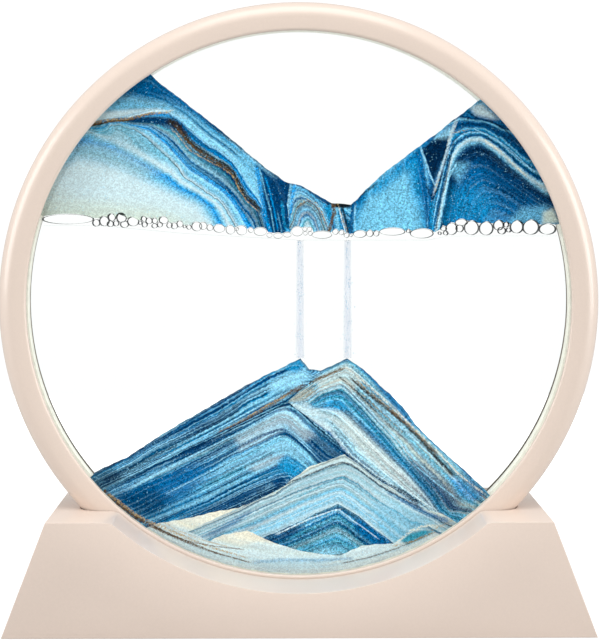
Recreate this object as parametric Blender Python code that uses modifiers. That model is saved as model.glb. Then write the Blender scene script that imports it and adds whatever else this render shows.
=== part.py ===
"""Moving sand picture: a round cell of liquid and sand in a plastic ring, standing in a slotted base.

Metres, +Z up, +X to the right and +Y to the rear as the picture is looked at. The floor is z = 0,
and the origin lies on it under the middle of the base.
"""

import math

import bmesh
import bpy

# Clearances
FIT_GAP = 0.0003
SLOT_SIDE_GAP = 0.0004

# Ring, whose outer edge is rounded by an elliptic shoulder on both faces
WINDOW_RADIUS = 0.081
RING_WIDTH = 0.009
RING_DEPTH = 0.020
SHOULDER_WIDTH = 0.005
SHOULDER_DEPTH = 0.007
WINDOW_EDGE_ROUND = 0.0008

# Glass cell behind the ring's lips
GLASS_THICKNESS = 0.003
GLASS_OVERLAP = 0.002
CELL_DEPTH = 0.005

# Screws that hold the ring's halves, put in from the rear
RING_SCREW_COUNT = 6
RING_SCREW_COVER = 0.0046
RING_SCREW_SINK = 0.0004

# Screws, of one size in the ring and in the base
SCREW_HEAD_RADIUS = 0.0017
SCREW_HEAD_HEIGHT = 0.0013
SCREW_HEAD_CHAMFER = 0.0005
SCREW_SHANK_RADIUS = 0.0010
SCREW_TIP_LENGTH = 0.0010

# Filling port in the ring's lowest edge, and its stopper
PORT_ANGLE = -90.0
STOPPER_HEAD_RADIUS = 0.0025
STOPPER_HEAD_HEIGHT = 0.0012
STOPPER_STEM_RADIUS = 0.0014

# Base, a hollow moulding. Its top ends this far past the slot, and its slanted ends reach further
BASE_END_WALL = 0.0069
BASE_END_FLARE = 0.0128
BASE_DEPTH = 0.056
BASE_TOP_Z = 0.0335
BASE_WALL = 0.0024
SLOT_WEB = 0.0024
SCOOP_STEP = 0.0010
SCOOP_CORNER_RADIUS = 0.0060
BASE_EDGE_ROUND = 0.0010

# Base cover, its screws and its feet
FOOT_STANDOFF = 0.0006
COVER_THICKNESS = 0.0014
CUP_HEIGHT = 0.0020
CUP_WALL = 0.0012
BASE_SCREW_FROM_FOOT = 0.0110
BASE_SCREW_REACH = 0.0100
SCREW_WELL_DEPTH = 0.0020
BOSS_RADIUS = 0.0030
PILOT_SPARE = 0.0015
FOOT_INSET = 0.0148
FOOT_RADIUS = 0.0050
FOOT_POCKET_DEPTH = 0.0014
FOOT_STEM_RADIUS = 0.0015
FOOT_BARB_RADIUS = 0.0022
FOOT_BARB_HEIGHT = 0.0012
FOOT_BARB_TIP_RADIUS = 0.0012

# Falling sand
STREAM_TOP_RADIUS = 0.0009
STREAM_FOOT_RADIUS = 0.0013

# Facets of round pieces
RING_STEPS = 72
SMALL_STEPS = 20
SHOULDER_STEPS = 5
ARC_STEP_DEG = 5.0
LIP_STEP_DEG = 30.0
SHARP_ANGLE_DEG = 35.0
BEVEL_ANGLE_DEG = 40.0

# How far a cutter runs past what it cuts
CUTTER_OVERRUN = 0.0020

# Sizes that follow from the ones above
RING_RADIUS = WINDOW_RADIUS + RING_WIDTH
HALF_RING = RING_DEPTH / 2
HALF_CELL = CELL_DEPTH / 2
GLASS_RADIUS = WINDOW_RADIUS + GLASS_OVERLAP
POCKET_RADIUS = GLASS_RADIUS + FIT_GAP
POCKET_TOP = HALF_CELL + GLASS_THICKNESS + FIT_GAP
RING_SCREW_PITCH = (POCKET_RADIUS + RING_RADIUS) / 2
HEAD_BORE_RADIUS = SCREW_HEAD_RADIUS + FIT_GAP
SHANK_BORE_RADIUS = SCREW_SHANK_RADIUS + FIT_GAP
SLOT_RADIUS = RING_RADIUS + FIT_GAP
HALF_SLOT = HALF_RING + SLOT_SIDE_GAP
COVER_TOP_Z = FOOT_STANDOFF + COVER_THICKNESS
CUP_TOP_Z = COVER_TOP_Z + CUP_HEIGHT
RING_CENTRE_Z = COVER_TOP_Z + FIT_GAP + SLOT_WEB + SLOT_RADIUS
SCOOP_RADIUS = WINDOW_RADIUS + SCOOP_STEP
SLOT_END_X = math.sqrt(SLOT_RADIUS**2 - (RING_CENTRE_Z - BASE_TOP_Z) ** 2)
BASE_TOP_HALF_WIDTH = SLOT_END_X + BASE_END_WALL
BASE_BOTTOM_HALF_WIDTH = BASE_TOP_HALF_WIDTH + BASE_END_FLARE
FOOT_X = BASE_BOTTOM_HALF_WIDTH - FOOT_INSET
BASE_SCREW_X = FOOT_X - BASE_SCREW_FROM_FOOT
BASE_CEILING_Z = BASE_TOP_Z - BASE_WALL
HALF_BAY = BASE_DEPTH / 2 - BASE_WALL
BOSS_Y = (HALF_SLOT + SLOT_WEB + HALF_BAY) / 2
FOOT_CUP_RADIUS = FOOT_RADIUS + FIT_GAP + CUP_WALL
FOOT_Y = HALF_BAY - 2 * FIT_GAP - FOOT_CUP_RADIUS
FILL_RADIUS = WINDOW_RADIUS - FIT_GAP / 2
FILL_DEPTH = CELL_DEPTH - 2 * FIT_GAP

# Heaps of sand: where their edges meet the cell's wall, in degrees from +X towards +Z
BANK_LEFT_TOP = 123.0
BANK_LEFT_FOOT = 160.9
BANK_RIGHT_TOP = 48.3
BANK_RIGHT_FOOT = 17.3
RAFT_LEFT = 163.2
RAFT_RIGHT = 14.5
MOUND_LEFT = 219.9
CORE_LEFT = 223.8
BED_LEFT = 235.9
BED_RIGHT = 301.2
CREST_RIGHT_END = 305.6
MOUND_RIGHT = 314.7

# Points that heaps share, as x and z in cell radii from the middle of the cell
THROAT_LEFT = (-0.056, 0.454)
THROAT_RIGHT = (0.196, 0.366)
FUNNEL_LEFT = (-0.033, 0.258)
FUNNEL_RIGHT = (0.187, 0.259)
PEAK_LEFT = (0.004, -0.213)
PEAK_RIGHT = (0.182, -0.213)
VALLEY_LEFT = (0.038, -0.255)
VALLEY_RIGHT = (0.082, -0.259)
CORE_APEX = (-0.040, -0.371)
CREST_APEX = (0.170, -0.566)
CREST_FOOT = (-0.227, -0.767)
CREST_TAIL = (-0.419, -0.857)
HEART_APEX = (0.146, -0.752)
HEART_LEFT = (-0.136, -0.882)
HEART_RIGHT = (0.353, -0.903)

# Lines between those points, each from left to right
BANK_LEFT_SLOPE = [(-0.385, 0.714), (-0.239, 0.599), (-0.126, 0.502)]
HUMP = [(0.005, 0.435), (0.120, 0.372), (0.172, 0.369)]
BANK_RIGHT_SLOPE = [(0.311, 0.478), (0.461, 0.591)]
BANK_LEFT_UNDERSIDE = [(-0.774, 0.325), (-0.430, 0.289), (-0.134, 0.274)]
BANK_RIGHT_UNDERSIDE = [(0.486, 0.259), (0.540, 0.289), (0.654, 0.305)]
RAFT_UNDERSIDE = [(-0.743, 0.289), (-0.430, 0.260), (0.0, 0.235), (0.483, 0.235), (0.558, 0.250)]
MOUND_LEFT_SLOPE = [(-0.641, -0.583), (-0.502, -0.491), (-0.348, -0.401), (-0.195, -0.312)]
MOUND_RIGHT_SLOPE = [(0.237, -0.252), (0.390, -0.393), (0.435, -0.461), (0.514, -0.539), (0.623, -0.637)]
GOLD_BEND = [(0.004, -0.327)]
CORE_FLANK = [(0.135, -0.509)]
CREST_LEFT = [(-0.093, -0.711), (0.031, -0.618)]
CREST_RIGHT = [(0.280, -0.652), (0.446, -0.761)]
DRIFT_TOP = [(-0.434, -0.812), (-0.295, -0.779)]
BED_TOP_LEFT = [(-0.333, -0.893), (-0.287, -0.870), (-0.197, -0.854)]
HEART_FLANK = [(0.223, -0.800)]
HEART_BOTTOM = [(-0.079, -0.906), (0.031, -0.936), (0.154, -0.949), (0.233, -0.911)]
BED_TOP_RIGHT = [(0.447, -0.846)]

# An object's local Z axis points at the viewer, away or down, once it is turned by these
FACE_FRONT = (math.pi / 2, 0, 0)
FACE_REAR = (-math.pi / 2, 0, 0)
HEAD_DOWN = (math.pi, 0, 0)


def remove_scene_objects():
    for obj in list(bpy.data.objects):
        bpy.data.objects.remove(obj, do_unlink=True)


def new_collection(name):
    collection = bpy.data.collections.new(name)
    bpy.context.scene.collection.children.link(collection)
    return collection


def new_material(name, colour, roughness, metallic=0.0, transmission=0.0):
    material = bpy.data.materials.new(name)
    material.use_nodes = True
    shader = material.node_tree.nodes["Principled BSDF"]
    shader.inputs["Base Color"].default_value = (*colour, 1.0)
    shader.inputs["Roughness"].default_value = roughness
    shader.inputs["Metallic"].default_value = metallic
    shader.inputs["Transmission Weight"].default_value = transmission
    return material


def plastic_material():
    return new_material("cream_plastic", (0.83, 0.71, 0.60), 0.42)


def cover_material():
    return new_material("cover_plastic", (0.74, 0.63, 0.53), 0.55)


def glass_material():
    return new_material("window_glass", (0.93, 0.97, 0.95), 0.03, transmission=1.0)


def liquid_material():
    return new_material("clear_liquid", (0.97, 0.99, 1.0), 0.02, transmission=1.0)


def bubble_material():
    return new_material("trapped_air", (0.95, 0.97, 0.98), 0.05, transmission=0.8)


def seal_material():
    return new_material("clear_seal", (0.80, 0.83, 0.79), 0.35)


def rubber_material():
    return new_material("grey_rubber", (0.30, 0.29, 0.28), 0.75)


def steel_material():
    return new_material("screw_steel", (0.60, 0.60, 0.61), 0.30, metallic=1.0)


def sand_material(name, colour):
    return new_material(name, colour, 0.85)


def add_object(name, mesh, collection, material=None, parent=None):
    obj = bpy.data.objects.new(name, mesh)
    collection.objects.link(obj)
    if material is not None:
        mesh.materials.append(material)
    obj.parent = parent
    return obj


def add_empty(name, collection, location):
    empty = bpy.data.objects.new(name, None)
    empty.location = location
    collection.objects.link(empty)
    return empty


def smooth_round(mesh):
    mesh.shade_smooth()
    mesh.set_sharp_from_angle(angle=math.radians(SHARP_ANGLE_DEG))


def as_cutter(obj):
    obj.hide_render = True
    obj.display_type = "WIRE"
    return obj


def boolean(obj, other, operation):
    modifier = obj.modifiers.new(other.name, "BOOLEAN")
    modifier.operation = operation
    modifier.solver = "EXACT"
    modifier.object = other


def add_cylinders(name, centres, radius, z_low, z_high, collection, parent=None, steps=SMALL_STEPS):
    """Upright cylinders about each (x, y) centre, as one mesh."""
    bm = bmesh.new()
    for x, y in centres:
        made = bmesh.ops.create_cone(
            bm, cap_ends=True, segments=steps, radius1=radius, radius2=radius, depth=z_high - z_low
        )
        bmesh.ops.translate(bm, verts=made["verts"], vec=(x, y, (z_low + z_high) / 2))
    mesh = bpy.data.meshes.new(name)
    bm.to_mesh(mesh)
    bm.free()
    return add_object(name, mesh, collection, parent=parent)


def turned_mesh(name, profile, closed):
    """A mesh of edges through (radius, height) points, outer side first and from the top down."""
    bm = bmesh.new()
    verts = [bm.verts.new((radius, 0.0, height)) for radius, height in profile]
    for first, second in zip(verts, verts[1:]):
        bm.edges.new((first, second))
    if closed:
        bm.edges.new((verts[-1], verts[0]))
    mesh = bpy.data.meshes.new(name)
    bm.to_mesh(mesh)
    bm.free()
    return mesh


def add_screw_modifier(obj, steps):
    modifier = obj.modifiers.new("turn", "SCREW")
    modifier.axis = "Z"
    modifier.steps = steps
    modifier.render_steps = steps
    modifier.use_merge_vertices = True
    modifier.merge_threshold = 0.00001
    modifier.use_smooth_shade = True


def add_turned(name, profile, closed, steps, collection, material=None, parent=None):
    obj = add_object(name, turned_mesh(name, profile, closed), collection, material, parent)
    add_screw_modifier(obj, steps)
    return obj


def add_slab(name, outline, depth, collection, material=None, parent=None):
    """A flat outline in the x-z plane, made thick along Y about its middle."""
    curve = bpy.data.curves.new(name, "CURVE")
    curve.dimensions = "2D"
    curve.fill_mode = "BOTH"
    curve.extrude = depth / 2
    spline = curve.splines.new("POLY")
    spline.points.add(len(outline) - 1)
    for point, (x, z) in zip(spline.points, outline):
        point.co = (x, z, 0.0, 1.0)
    spline.use_cyclic_u = True
    drawn = bpy.data.objects.new(name, curve)
    bpy.context.scene.collection.objects.link(drawn)
    drawn.rotation_euler = FACE_FRONT
    drawn.parent = parent
    bpy.context.view_layer.update()
    evaluated = drawn.evaluated_get(bpy.context.evaluated_depsgraph_get())
    mesh = bpy.data.meshes.new_from_object(evaluated)
    matrix = drawn.matrix_world.copy()
    bpy.data.objects.remove(drawn)
    bpy.data.curves.remove(curve)
    bm = bmesh.new()
    bm.from_mesh(mesh)
    bmesh.ops.remove_doubles(bm, verts=bm.verts, dist=0.00001)
    bm.to_mesh(mesh)
    bm.free()
    mesh.materials.clear()
    obj = add_object(name, mesh, collection, material, parent)
    obj.matrix_world = matrix
    return obj


def signed_area(outline):
    pairs = zip(outline, outline[1:] + outline[:1])
    return sum(x0 * z1 - x1 * z0 for (x0, z0), (x1, z1) in pairs) / 2


def inset(outline, distance):
    """The outline drawn in on itself by a distance, with mitred corners."""
    side = 1.0 if signed_area(outline) > 0 else -1.0
    drawn_in = []
    for before, here, after in zip(outline[-1:] + outline[:-1], outline, outline[1:] + outline[:1]):
        length_in = math.dist(before, here)
        length_out = math.dist(here, after)
        normal_in = ((before[1] - here[1]) / length_in * side, (here[0] - before[0]) / length_in * side)
        normal_out = ((here[1] - after[1]) / length_out * side, (after[0] - here[0]) / length_out * side)
        spread = 1.0 + normal_in[0] * normal_out[0] + normal_in[1] * normal_out[1]
        x = here[0] + distance * (normal_in[0] + normal_out[0]) / spread
        z = here[1] + distance * (normal_in[1] + normal_out[1]) / spread
        drawn_in.append((x, z))
    return drawn_in


def arc_points(centre, radius, start, end, step=ARC_STEP_DEG):
    """Points from one angle to another, in degrees, with both ends."""
    count = max(1, math.ceil(abs(end - start) / step))
    angles = [math.radians(start + (end - start) * i / count) for i in range(count + 1)]
    return [(centre[0] + radius * math.cos(a), centre[1] + radius * math.sin(a)) for a in angles]


def shoulder_points(radius, half_depth):
    """The rounded outer edge of a ring's face, from the flat of the face outwards."""
    points = []
    for i in range(SHOULDER_STEPS + 1):
        angle = math.pi / 2 * i / SHOULDER_STEPS
        across = radius - SHOULDER_WIDTH * (1 - math.sin(angle))
        up = half_depth - SHOULDER_DEPTH * (1 - math.cos(angle))
        points.append((across, up))
    return points


def shoulder_height(radius):
    """How far the ring's face lies from its middle plane, at a radius."""
    share = max(0.0, (radius - (RING_RADIUS - SHOULDER_WIDTH)) / SHOULDER_WIDTH)
    return HALF_RING - SHOULDER_DEPTH * (1 - math.sqrt(1 - share * share))


def ring_half_profile():
    half_gap = FIT_GAP / 2
    middle = (WINDOW_RADIUS + WINDOW_EDGE_ROUND, HALF_RING - WINDOW_EDGE_ROUND)
    lip = arc_points(middle, WINDOW_EDGE_ROUND, 180, 90, LIP_STEP_DEG)
    outer = shoulder_points(RING_RADIUS, HALF_RING) + [(RING_RADIUS, half_gap)]
    inner = [(POCKET_RADIUS, half_gap), (POCKET_RADIUS, POCKET_TOP), (WINDOW_RADIUS, POCKET_TOP)]
    return outer + inner + lip


def screw_places():
    angles = [2 * math.pi * i / RING_SCREW_COUNT for i in range(RING_SCREW_COUNT)]
    return [(RING_SCREW_PITCH * math.cos(a), RING_SCREW_PITCH * math.sin(a)) for a in angles]


def ring_screw_seat():
    rim = shoulder_height(RING_SCREW_PITCH + HEAD_BORE_RADIUS)
    return rim - RING_SCREW_SINK - SCREW_HEAD_HEIGHT


def ring_screw_reach():
    """From the seat to the tip, which stays covered by the front half's face."""
    return ring_screw_seat() + HALF_RING - RING_SCREW_COVER


def port_turn():
    """A turn that lays an object's local Z along the port, out of the ring."""
    return (0, math.pi / 2 - math.radians(PORT_ANGLE), 0)


def add_port_cutters(parent, cutters):
    seat = RING_RADIUS - STOPPER_HEAD_HEIGHT - 2 * FIT_GAP
    outside = RING_RADIUS + CUTTER_OVERRUN
    stem = add_cylinders("port_stem_cutter", [(0, 0)], STOPPER_STEM_RADIUS + FIT_GAP,
                         POCKET_RADIUS - CUTTER_OVERRUN, outside, cutters, parent)
    head = add_cylinders("port_head_cutter", [(0, 0)], STOPPER_HEAD_RADIUS + FIT_GAP,
                         seat, outside, cutters, parent)
    for cutter in (stem, head):
        cutter.rotation_euler = port_turn()
        as_cutter(cutter)
    return [stem, head]


def add_ring_halves(parts, cutters, axis, plastic):
    front = add_turned("ring_front", ring_half_profile(), True, RING_STEPS, parts, plastic, axis)
    front.rotation_euler = FACE_FRONT
    rear = add_turned("ring_rear", ring_half_profile(), True, RING_STEPS, parts, plastic, axis)
    rear.rotation_euler = FACE_REAR
    seat = ring_screw_seat()
    pilot_end = seat - ring_screw_reach() - PILOT_SPARE
    shanks = add_cylinders("ring_shank_cutter", screw_places(), SHANK_BORE_RADIUS, pilot_end, HALF_RING,
                           cutters, axis)
    heads = add_cylinders("ring_head_cutter", screw_places(), HEAD_BORE_RADIUS, seat - FIT_GAP,
                          HALF_RING + CUTTER_OVERRUN, cutters, axis)
    for cutter in (shanks, heads):
        cutter.rotation_euler = FACE_REAR
        as_cutter(cutter)
    boolean(front, shanks, "DIFFERENCE")
    boolean(rear, shanks, "DIFFERENCE")
    boolean(rear, heads, "DIFFERENCE")
    for cutter in add_port_cutters(axis, cutters):
        boolean(front, cutter, "DIFFERENCE")
        boolean(rear, cutter, "DIFFERENCE")


def screw_mesh(name, reach, steel):
    """A pan-head screw with its head's underside at z = 0 and its shank pointing down."""
    profile = [
        (0.0, SCREW_HEAD_HEIGHT),
        (SCREW_HEAD_RADIUS - SCREW_HEAD_CHAMFER, SCREW_HEAD_HEIGHT),
        (SCREW_HEAD_RADIUS, SCREW_HEAD_HEIGHT - SCREW_HEAD_CHAMFER),
        (SCREW_HEAD_RADIUS, 0.0),
        (SCREW_SHANK_RADIUS, 0.0),
        (SCREW_SHANK_RADIUS, SCREW_TIP_LENGTH - reach),
        (0.0, -reach),
    ]
    mesh = turned_mesh(name, profile, False)
    mesh.materials.append(steel)
    return mesh


def add_turned_copy(name, mesh, collection, location, rotation=(0, 0, 0), parent=None):
    """One of several turned pieces that share a profile."""
    copy = bpy.data.objects.new(name, mesh)
    collection.objects.link(copy)
    copy.parent = parent
    copy.location = location
    copy.rotation_euler = rotation
    add_screw_modifier(copy, SMALL_STEPS)


def add_ring_screws(parts, axis, steel):
    mesh = screw_mesh("ring_screw", ring_screw_reach(), steel)
    for number, (x, z) in enumerate(screw_places(), start=1):
        place = (x, ring_screw_seat(), -z)
        add_turned_copy(f"ring_screw_{number}", mesh, parts, place, FACE_REAR, axis)


def add_stopper(parts, axis, rubber):
    """The filling port's stopper, its head a little below the ring's edge."""
    top = RING_RADIUS - FIT_GAP
    shoulder = top - STOPPER_HEAD_HEIGHT
    profile = [
        (0.0, top),
        (STOPPER_HEAD_RADIUS, top),
        (STOPPER_HEAD_RADIUS, shoulder),
        (STOPPER_STEM_RADIUS, shoulder),
        (STOPPER_STEM_RADIUS, POCKET_RADIUS),
        (0.0, POCKET_RADIUS),
    ]
    stopper = add_turned("fill_plug", profile, False, SMALL_STEPS, parts, rubber, axis)
    stopper.rotation_euler = port_turn()


def add_panes(parts, axis, glass):
    middle = HALF_CELL + GLASS_THICKNESS / 2
    for name, y in (("glass_front", -middle), ("glass_rear", middle)):
        pane = add_cylinders(name, [(0, 0)], GLASS_RADIUS, -GLASS_THICKNESS / 2, GLASS_THICKNESS / 2,
                             parts, axis, RING_STEPS)
        pane.data.materials.append(glass)
        pane.rotation_euler = FACE_FRONT
        pane.location = (0, y, 0)
        smooth_round(pane.data)


def add_seal(parts, carrier, material):
    half = FILL_DEPTH / 2
    outer = [(GLASS_RADIUS, half), (GLASS_RADIUS, -half)]
    inner = [(WINDOW_RADIUS, -half), (WINDOW_RADIUS, half)]
    seal = add_turned("cell_seal", outer + inner, True, RING_STEPS, parts, material, carrier)
    seal.rotation_euler = FACE_FRONT


def wall(start, end):
    """The cell's wall between two angles, in cell radii."""
    return arc_points((0, 0), 1.0, start, end)


def heap_outlines():
    """Each filling's outline in cell radii. Neighbours share their points, so they tile the cell."""
    upper_left = BANK_LEFT_SLOPE + [THROAT_LEFT]
    upper_right = [THROAT_RIGHT] + BANK_RIGHT_SLOPE
    valley = [VALLEY_LEFT, VALLEY_RIGHT]
    mound_top = MOUND_LEFT_SLOPE + [PEAK_LEFT] + valley + [PEAK_RIGHT] + MOUND_RIGHT_SLOPE
    raft_top = BANK_LEFT_UNDERSIDE + [FUNNEL_LEFT, FUNNEL_RIGHT] + BANK_RIGHT_UNDERSIDE
    bed_left = [CREST_TAIL] + BED_TOP_LEFT + [HEART_LEFT]
    bed_right = [HEART_RIGHT] + BED_TOP_RIGHT
    crest_top = [CREST_FOOT] + CREST_LEFT + [CREST_APEX] + CREST_RIGHT
    return {
        "liquid_upper": wall(BANK_RIGHT_TOP, BANK_LEFT_TOP) + upper_left + HUMP + upper_right,
        "liquid_lower": (
            wall(MOUND_RIGHT - 360, RAFT_RIGHT) + RAFT_UNDERSIDE[::-1]
            + wall(RAFT_LEFT, MOUND_LEFT) + mound_top
        ),
        "bubble_raft": (
            wall(RAFT_RIGHT, BANK_RIGHT_FOOT) + raft_top[::-1]
            + wall(BANK_LEFT_FOOT, RAFT_LEFT) + RAFT_UNDERSIDE
        ),
        "bank_left": (
            wall(BANK_LEFT_FOOT, BANK_LEFT_TOP) + upper_left
            + [FUNNEL_LEFT] + BANK_LEFT_UNDERSIDE[::-1]
        ),
        "bank_centre": [THROAT_LEFT] + HUMP + [THROAT_RIGHT, FUNNEL_RIGHT, FUNNEL_LEFT],
        "bank_right": (
            upper_right + wall(BANK_RIGHT_TOP, BANK_RIGHT_FOOT)
            + BANK_RIGHT_UNDERSIDE[::-1] + [FUNNEL_RIGHT]
        ),
        "mound_left": (
            wall(CORE_LEFT, MOUND_LEFT) + MOUND_LEFT_SLOPE + [PEAK_LEFT] + valley
            + GOLD_BEND + [CORE_APEX]
        ),
        "mound_right": (
            [CORE_APEX] + GOLD_BEND + [VALLEY_RIGHT, PEAK_RIGHT] + MOUND_RIGHT_SLOPE
            + wall(MOUND_RIGHT, CREST_RIGHT_END) + CREST_RIGHT[::-1] + [CREST_APEX] + CORE_FLANK
        ),
        "mound_core": (
            wall(BED_LEFT, CORE_LEFT) + [CORE_APEX] + CORE_FLANK + [CREST_APEX] + CREST_LEFT[::-1]
            + [CREST_FOOT] + DRIFT_TOP[::-1]
        ),
        "mound_crest": (
            crest_top + wall(CREST_RIGHT_END, BED_RIGHT) + bed_right[::-1] + HEART_FLANK[::-1]
            + [HEART_APEX] + bed_left[::-1]
        ),
        "mound_heart": [HEART_APEX] + HEART_FLANK + [HEART_RIGHT] + HEART_BOTTOM[::-1] + [HEART_LEFT],
        "mound_bed": (
            wall(BED_LEFT, BED_RIGHT) + bed_right[::-1] + HEART_BOTTOM[::-1] + bed_left[::-1]
            + [CREST_FOOT] + DRIFT_TOP[::-1]
        ),
    }


def filling_materials():
    liquid = liquid_material()
    return {
        "liquid_upper": liquid,
        "liquid_lower": liquid,
        "bubble_raft": bubble_material(),
        "bank_left": sand_material("bank_left_sand", (0.14, 0.36, 0.55)),
        "bank_centre": sand_material("bank_centre_sand", (0.10, 0.22, 0.36)),
        "bank_right": sand_material("bank_right_sand", (0.11, 0.33, 0.56)),
        "mound_left": sand_material("mound_left_sand", (0.08, 0.32, 0.52)),
        "mound_right": sand_material("mound_right_sand", (0.30, 0.44, 0.50)),
        "mound_core": sand_material("mound_core_sand", (0.10, 0.40, 0.60)),
        "mound_crest": sand_material("mound_crest_sand", (0.50, 0.63, 0.68)),
        "mound_heart": sand_material("mound_heart_sand", (0.05, 0.20, 0.38)),
        "mound_bed": sand_material("mound_bed_sand", (0.62, 0.66, 0.60)),
    }


def raft_underside_at(x):
    """The height of the raft's underside at an x, both in metres from the ring's axis."""
    points = [(px * FILL_RADIUS, pz * FILL_RADIUS) for px, pz in RAFT_UNDERSIDE]
    for (x0, z0), (x1, z1) in zip(points, points[1:]):
        if x0 <= x <= x1:
            return z0 + (z1 - z0) * (x - x0) / (x1 - x0)
    return points[-1][1]


def add_cone(name, foot_radius, top_radius, z_low, z_high, collection, parent):
    bm = bmesh.new()
    bmesh.ops.create_cone(bm, cap_ends=True, segments=SMALL_STEPS, radius1=foot_radius,
                          radius2=top_radius, depth=z_high - z_low)
    bmesh.ops.translate(bm, verts=bm.verts, vec=(0, 0, (z_low + z_high) / 2))
    mesh = bpy.data.meshes.new(name)
    bm.to_mesh(mesh)
    bm.free()
    smooth_round(mesh)
    return add_object(name, mesh, collection, parent=parent)


def add_streams(parts, cutters, axis, liquid_body):
    sand = sand_material("stream_sand", (0.45, 0.52, 0.62))
    for name, peak in (("stream_left", PEAK_LEFT), ("stream_right", PEAK_RIGHT)):
        x = peak[0] * FILL_RADIUS
        low = peak[1] * FILL_RADIUS + FIT_GAP
        high = raft_underside_at(x) - FIT_GAP
        stream = add_cone(name, STREAM_FOOT_RADIUS, STREAM_TOP_RADIUS, low, high, parts, axis)
        stream.data.materials.append(sand)
        bore = add_cone(f"{name}_cutter", STREAM_FOOT_RADIUS + FIT_GAP, STREAM_TOP_RADIUS + FIT_GAP,
                        low - CUTTER_OVERRUN, high + CUTTER_OVERRUN, cutters, axis)
        stream.location = (x, 0, 0)
        bore.location = (x, 0, 0)
        boolean(liquid_body, as_cutter(bore), "DIFFERENCE")


def add_fillings(parts, cutters, axis):
    materials = filling_materials()
    bodies = {}
    for name, outline in heap_outlines().items():
        sized = [(x * FILL_RADIUS, z * FILL_RADIUS) for x, z in outline]
        tiled = inset(sized, FIT_GAP / 2)
        bodies[name] = add_slab(name, tiled, FILL_DEPTH, parts, materials[name], axis)
    add_streams(parts, cutters, axis, bodies["liquid_lower"])


def base_half_width(z):
    """Half the base's width at a height, along its slanted ends."""
    share = (z - FOOT_STANDOFF) / (BASE_TOP_Z - FOOT_STANDOFF)
    return BASE_BOTTOM_HALF_WIDTH - BASE_END_FLARE * share


def base_outline(bottom_z):
    """The base seen from the front: slanted ends, a flat top and a scoop round the window."""
    corner_z = BASE_TOP_Z - SCOOP_CORNER_RADIUS
    reach = SCOOP_RADIUS + SCOOP_CORNER_RADIUS
    corner_x = math.sqrt(reach**2 - (RING_CENTRE_Z - corner_z) ** 2)
    lean = math.degrees(math.atan2(RING_CENTRE_Z - corner_z, corner_x))
    right_corner = arc_points((corner_x, corner_z), SCOOP_CORNER_RADIUS, 90, 180 - lean)
    scoop = arc_points((0, RING_CENTRE_Z), SCOOP_RADIUS, -lean, lean - 180)[1:-1]
    left_corner = [(-x, z) for x, z in reversed(right_corner)]
    low = base_half_width(bottom_z)
    high = base_half_width(BASE_TOP_Z)
    ends_right = [(low, bottom_z), (high, BASE_TOP_Z)]
    ends_left = [(-high, BASE_TOP_Z), (-low, bottom_z)]
    return ends_right + right_corner + scoop + left_corner + ends_left


def slot_profile():
    upper = shoulder_points(SLOT_RADIUS, HALF_SLOT)
    lower = [(radius, -height) for radius, height in reversed(upper)]
    return [(0.0, HALF_SLOT)] + upper + lower + [(0.0, -HALF_SLOT)]


def boss_places():
    return [(sx * BASE_SCREW_X, sy * BOSS_Y) for sy in (-1, 1) for sx in (-1, 1)]


def foot_places():
    return [(sx * FOOT_X, sy * FOOT_Y) for sy in (-1, 1) for sx in (-1, 1)]


def screw_seat_z():
    return FOOT_STANDOFF + SCREW_WELL_DEPTH


def add_base_shell(parts, cutters, plastic):
    ring_middle = (0, 0, RING_CENTRE_Z)
    shell = add_slab("base_shell", base_outline(FOOT_STANDOFF), BASE_DEPTH, parts, plastic)
    smooth_round(shell.data)
    rounding = shell.modifiers.new("edge_round", "BEVEL")
    rounding.width = BASE_EDGE_ROUND
    rounding.segments = 2
    rounding.limit_method = "ANGLE"
    rounding.angle_limit = math.radians(BEVEL_ANGLE_DEG)

    # The hollow is open below: its outline starts lower by more than it is drawn in
    below = FOOT_STANDOFF - BASE_WALL - CUTTER_OVERRUN
    hollow_outline = inset(base_outline(below), BASE_WALL)
    hollow = as_cutter(add_slab("hollow_cutter", hollow_outline, 2 * HALF_BAY, cutters))
    half_web = HALF_SLOT + SLOT_WEB
    web = add_cylinders("slot_web_cutter", [(0, 0)], SLOT_RADIUS + SLOT_WEB, -half_web, half_web,
                        cutters, steps=RING_STEPS)
    web.rotation_euler = FACE_FRONT
    web.location = ring_middle
    boolean(hollow, as_cutter(web), "DIFFERENCE")
    boolean(shell, hollow, "DIFFERENCE")

    bosses = add_cylinders("boss_cutter", boss_places(), BOSS_RADIUS, CUP_TOP_Z + FIT_GAP,
                           BASE_CEILING_Z + BASE_WALL / 2, cutters)
    boolean(shell, as_cutter(bosses), "UNION")
    slot = add_turned("slot_cutter", slot_profile(), False, RING_STEPS, cutters)
    slot.rotation_euler = FACE_FRONT
    slot.location = ring_middle
    boolean(shell, as_cutter(slot), "DIFFERENCE")
    pilot_top = screw_seat_z() + BASE_SCREW_REACH + PILOT_SPARE
    pilots = add_cylinders("pilot_cutter", boss_places(), SHANK_BORE_RADIUS, FOOT_STANDOFF, pilot_top,
                           cutters)
    boolean(shell, as_cutter(pilots), "DIFFERENCE")


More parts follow.
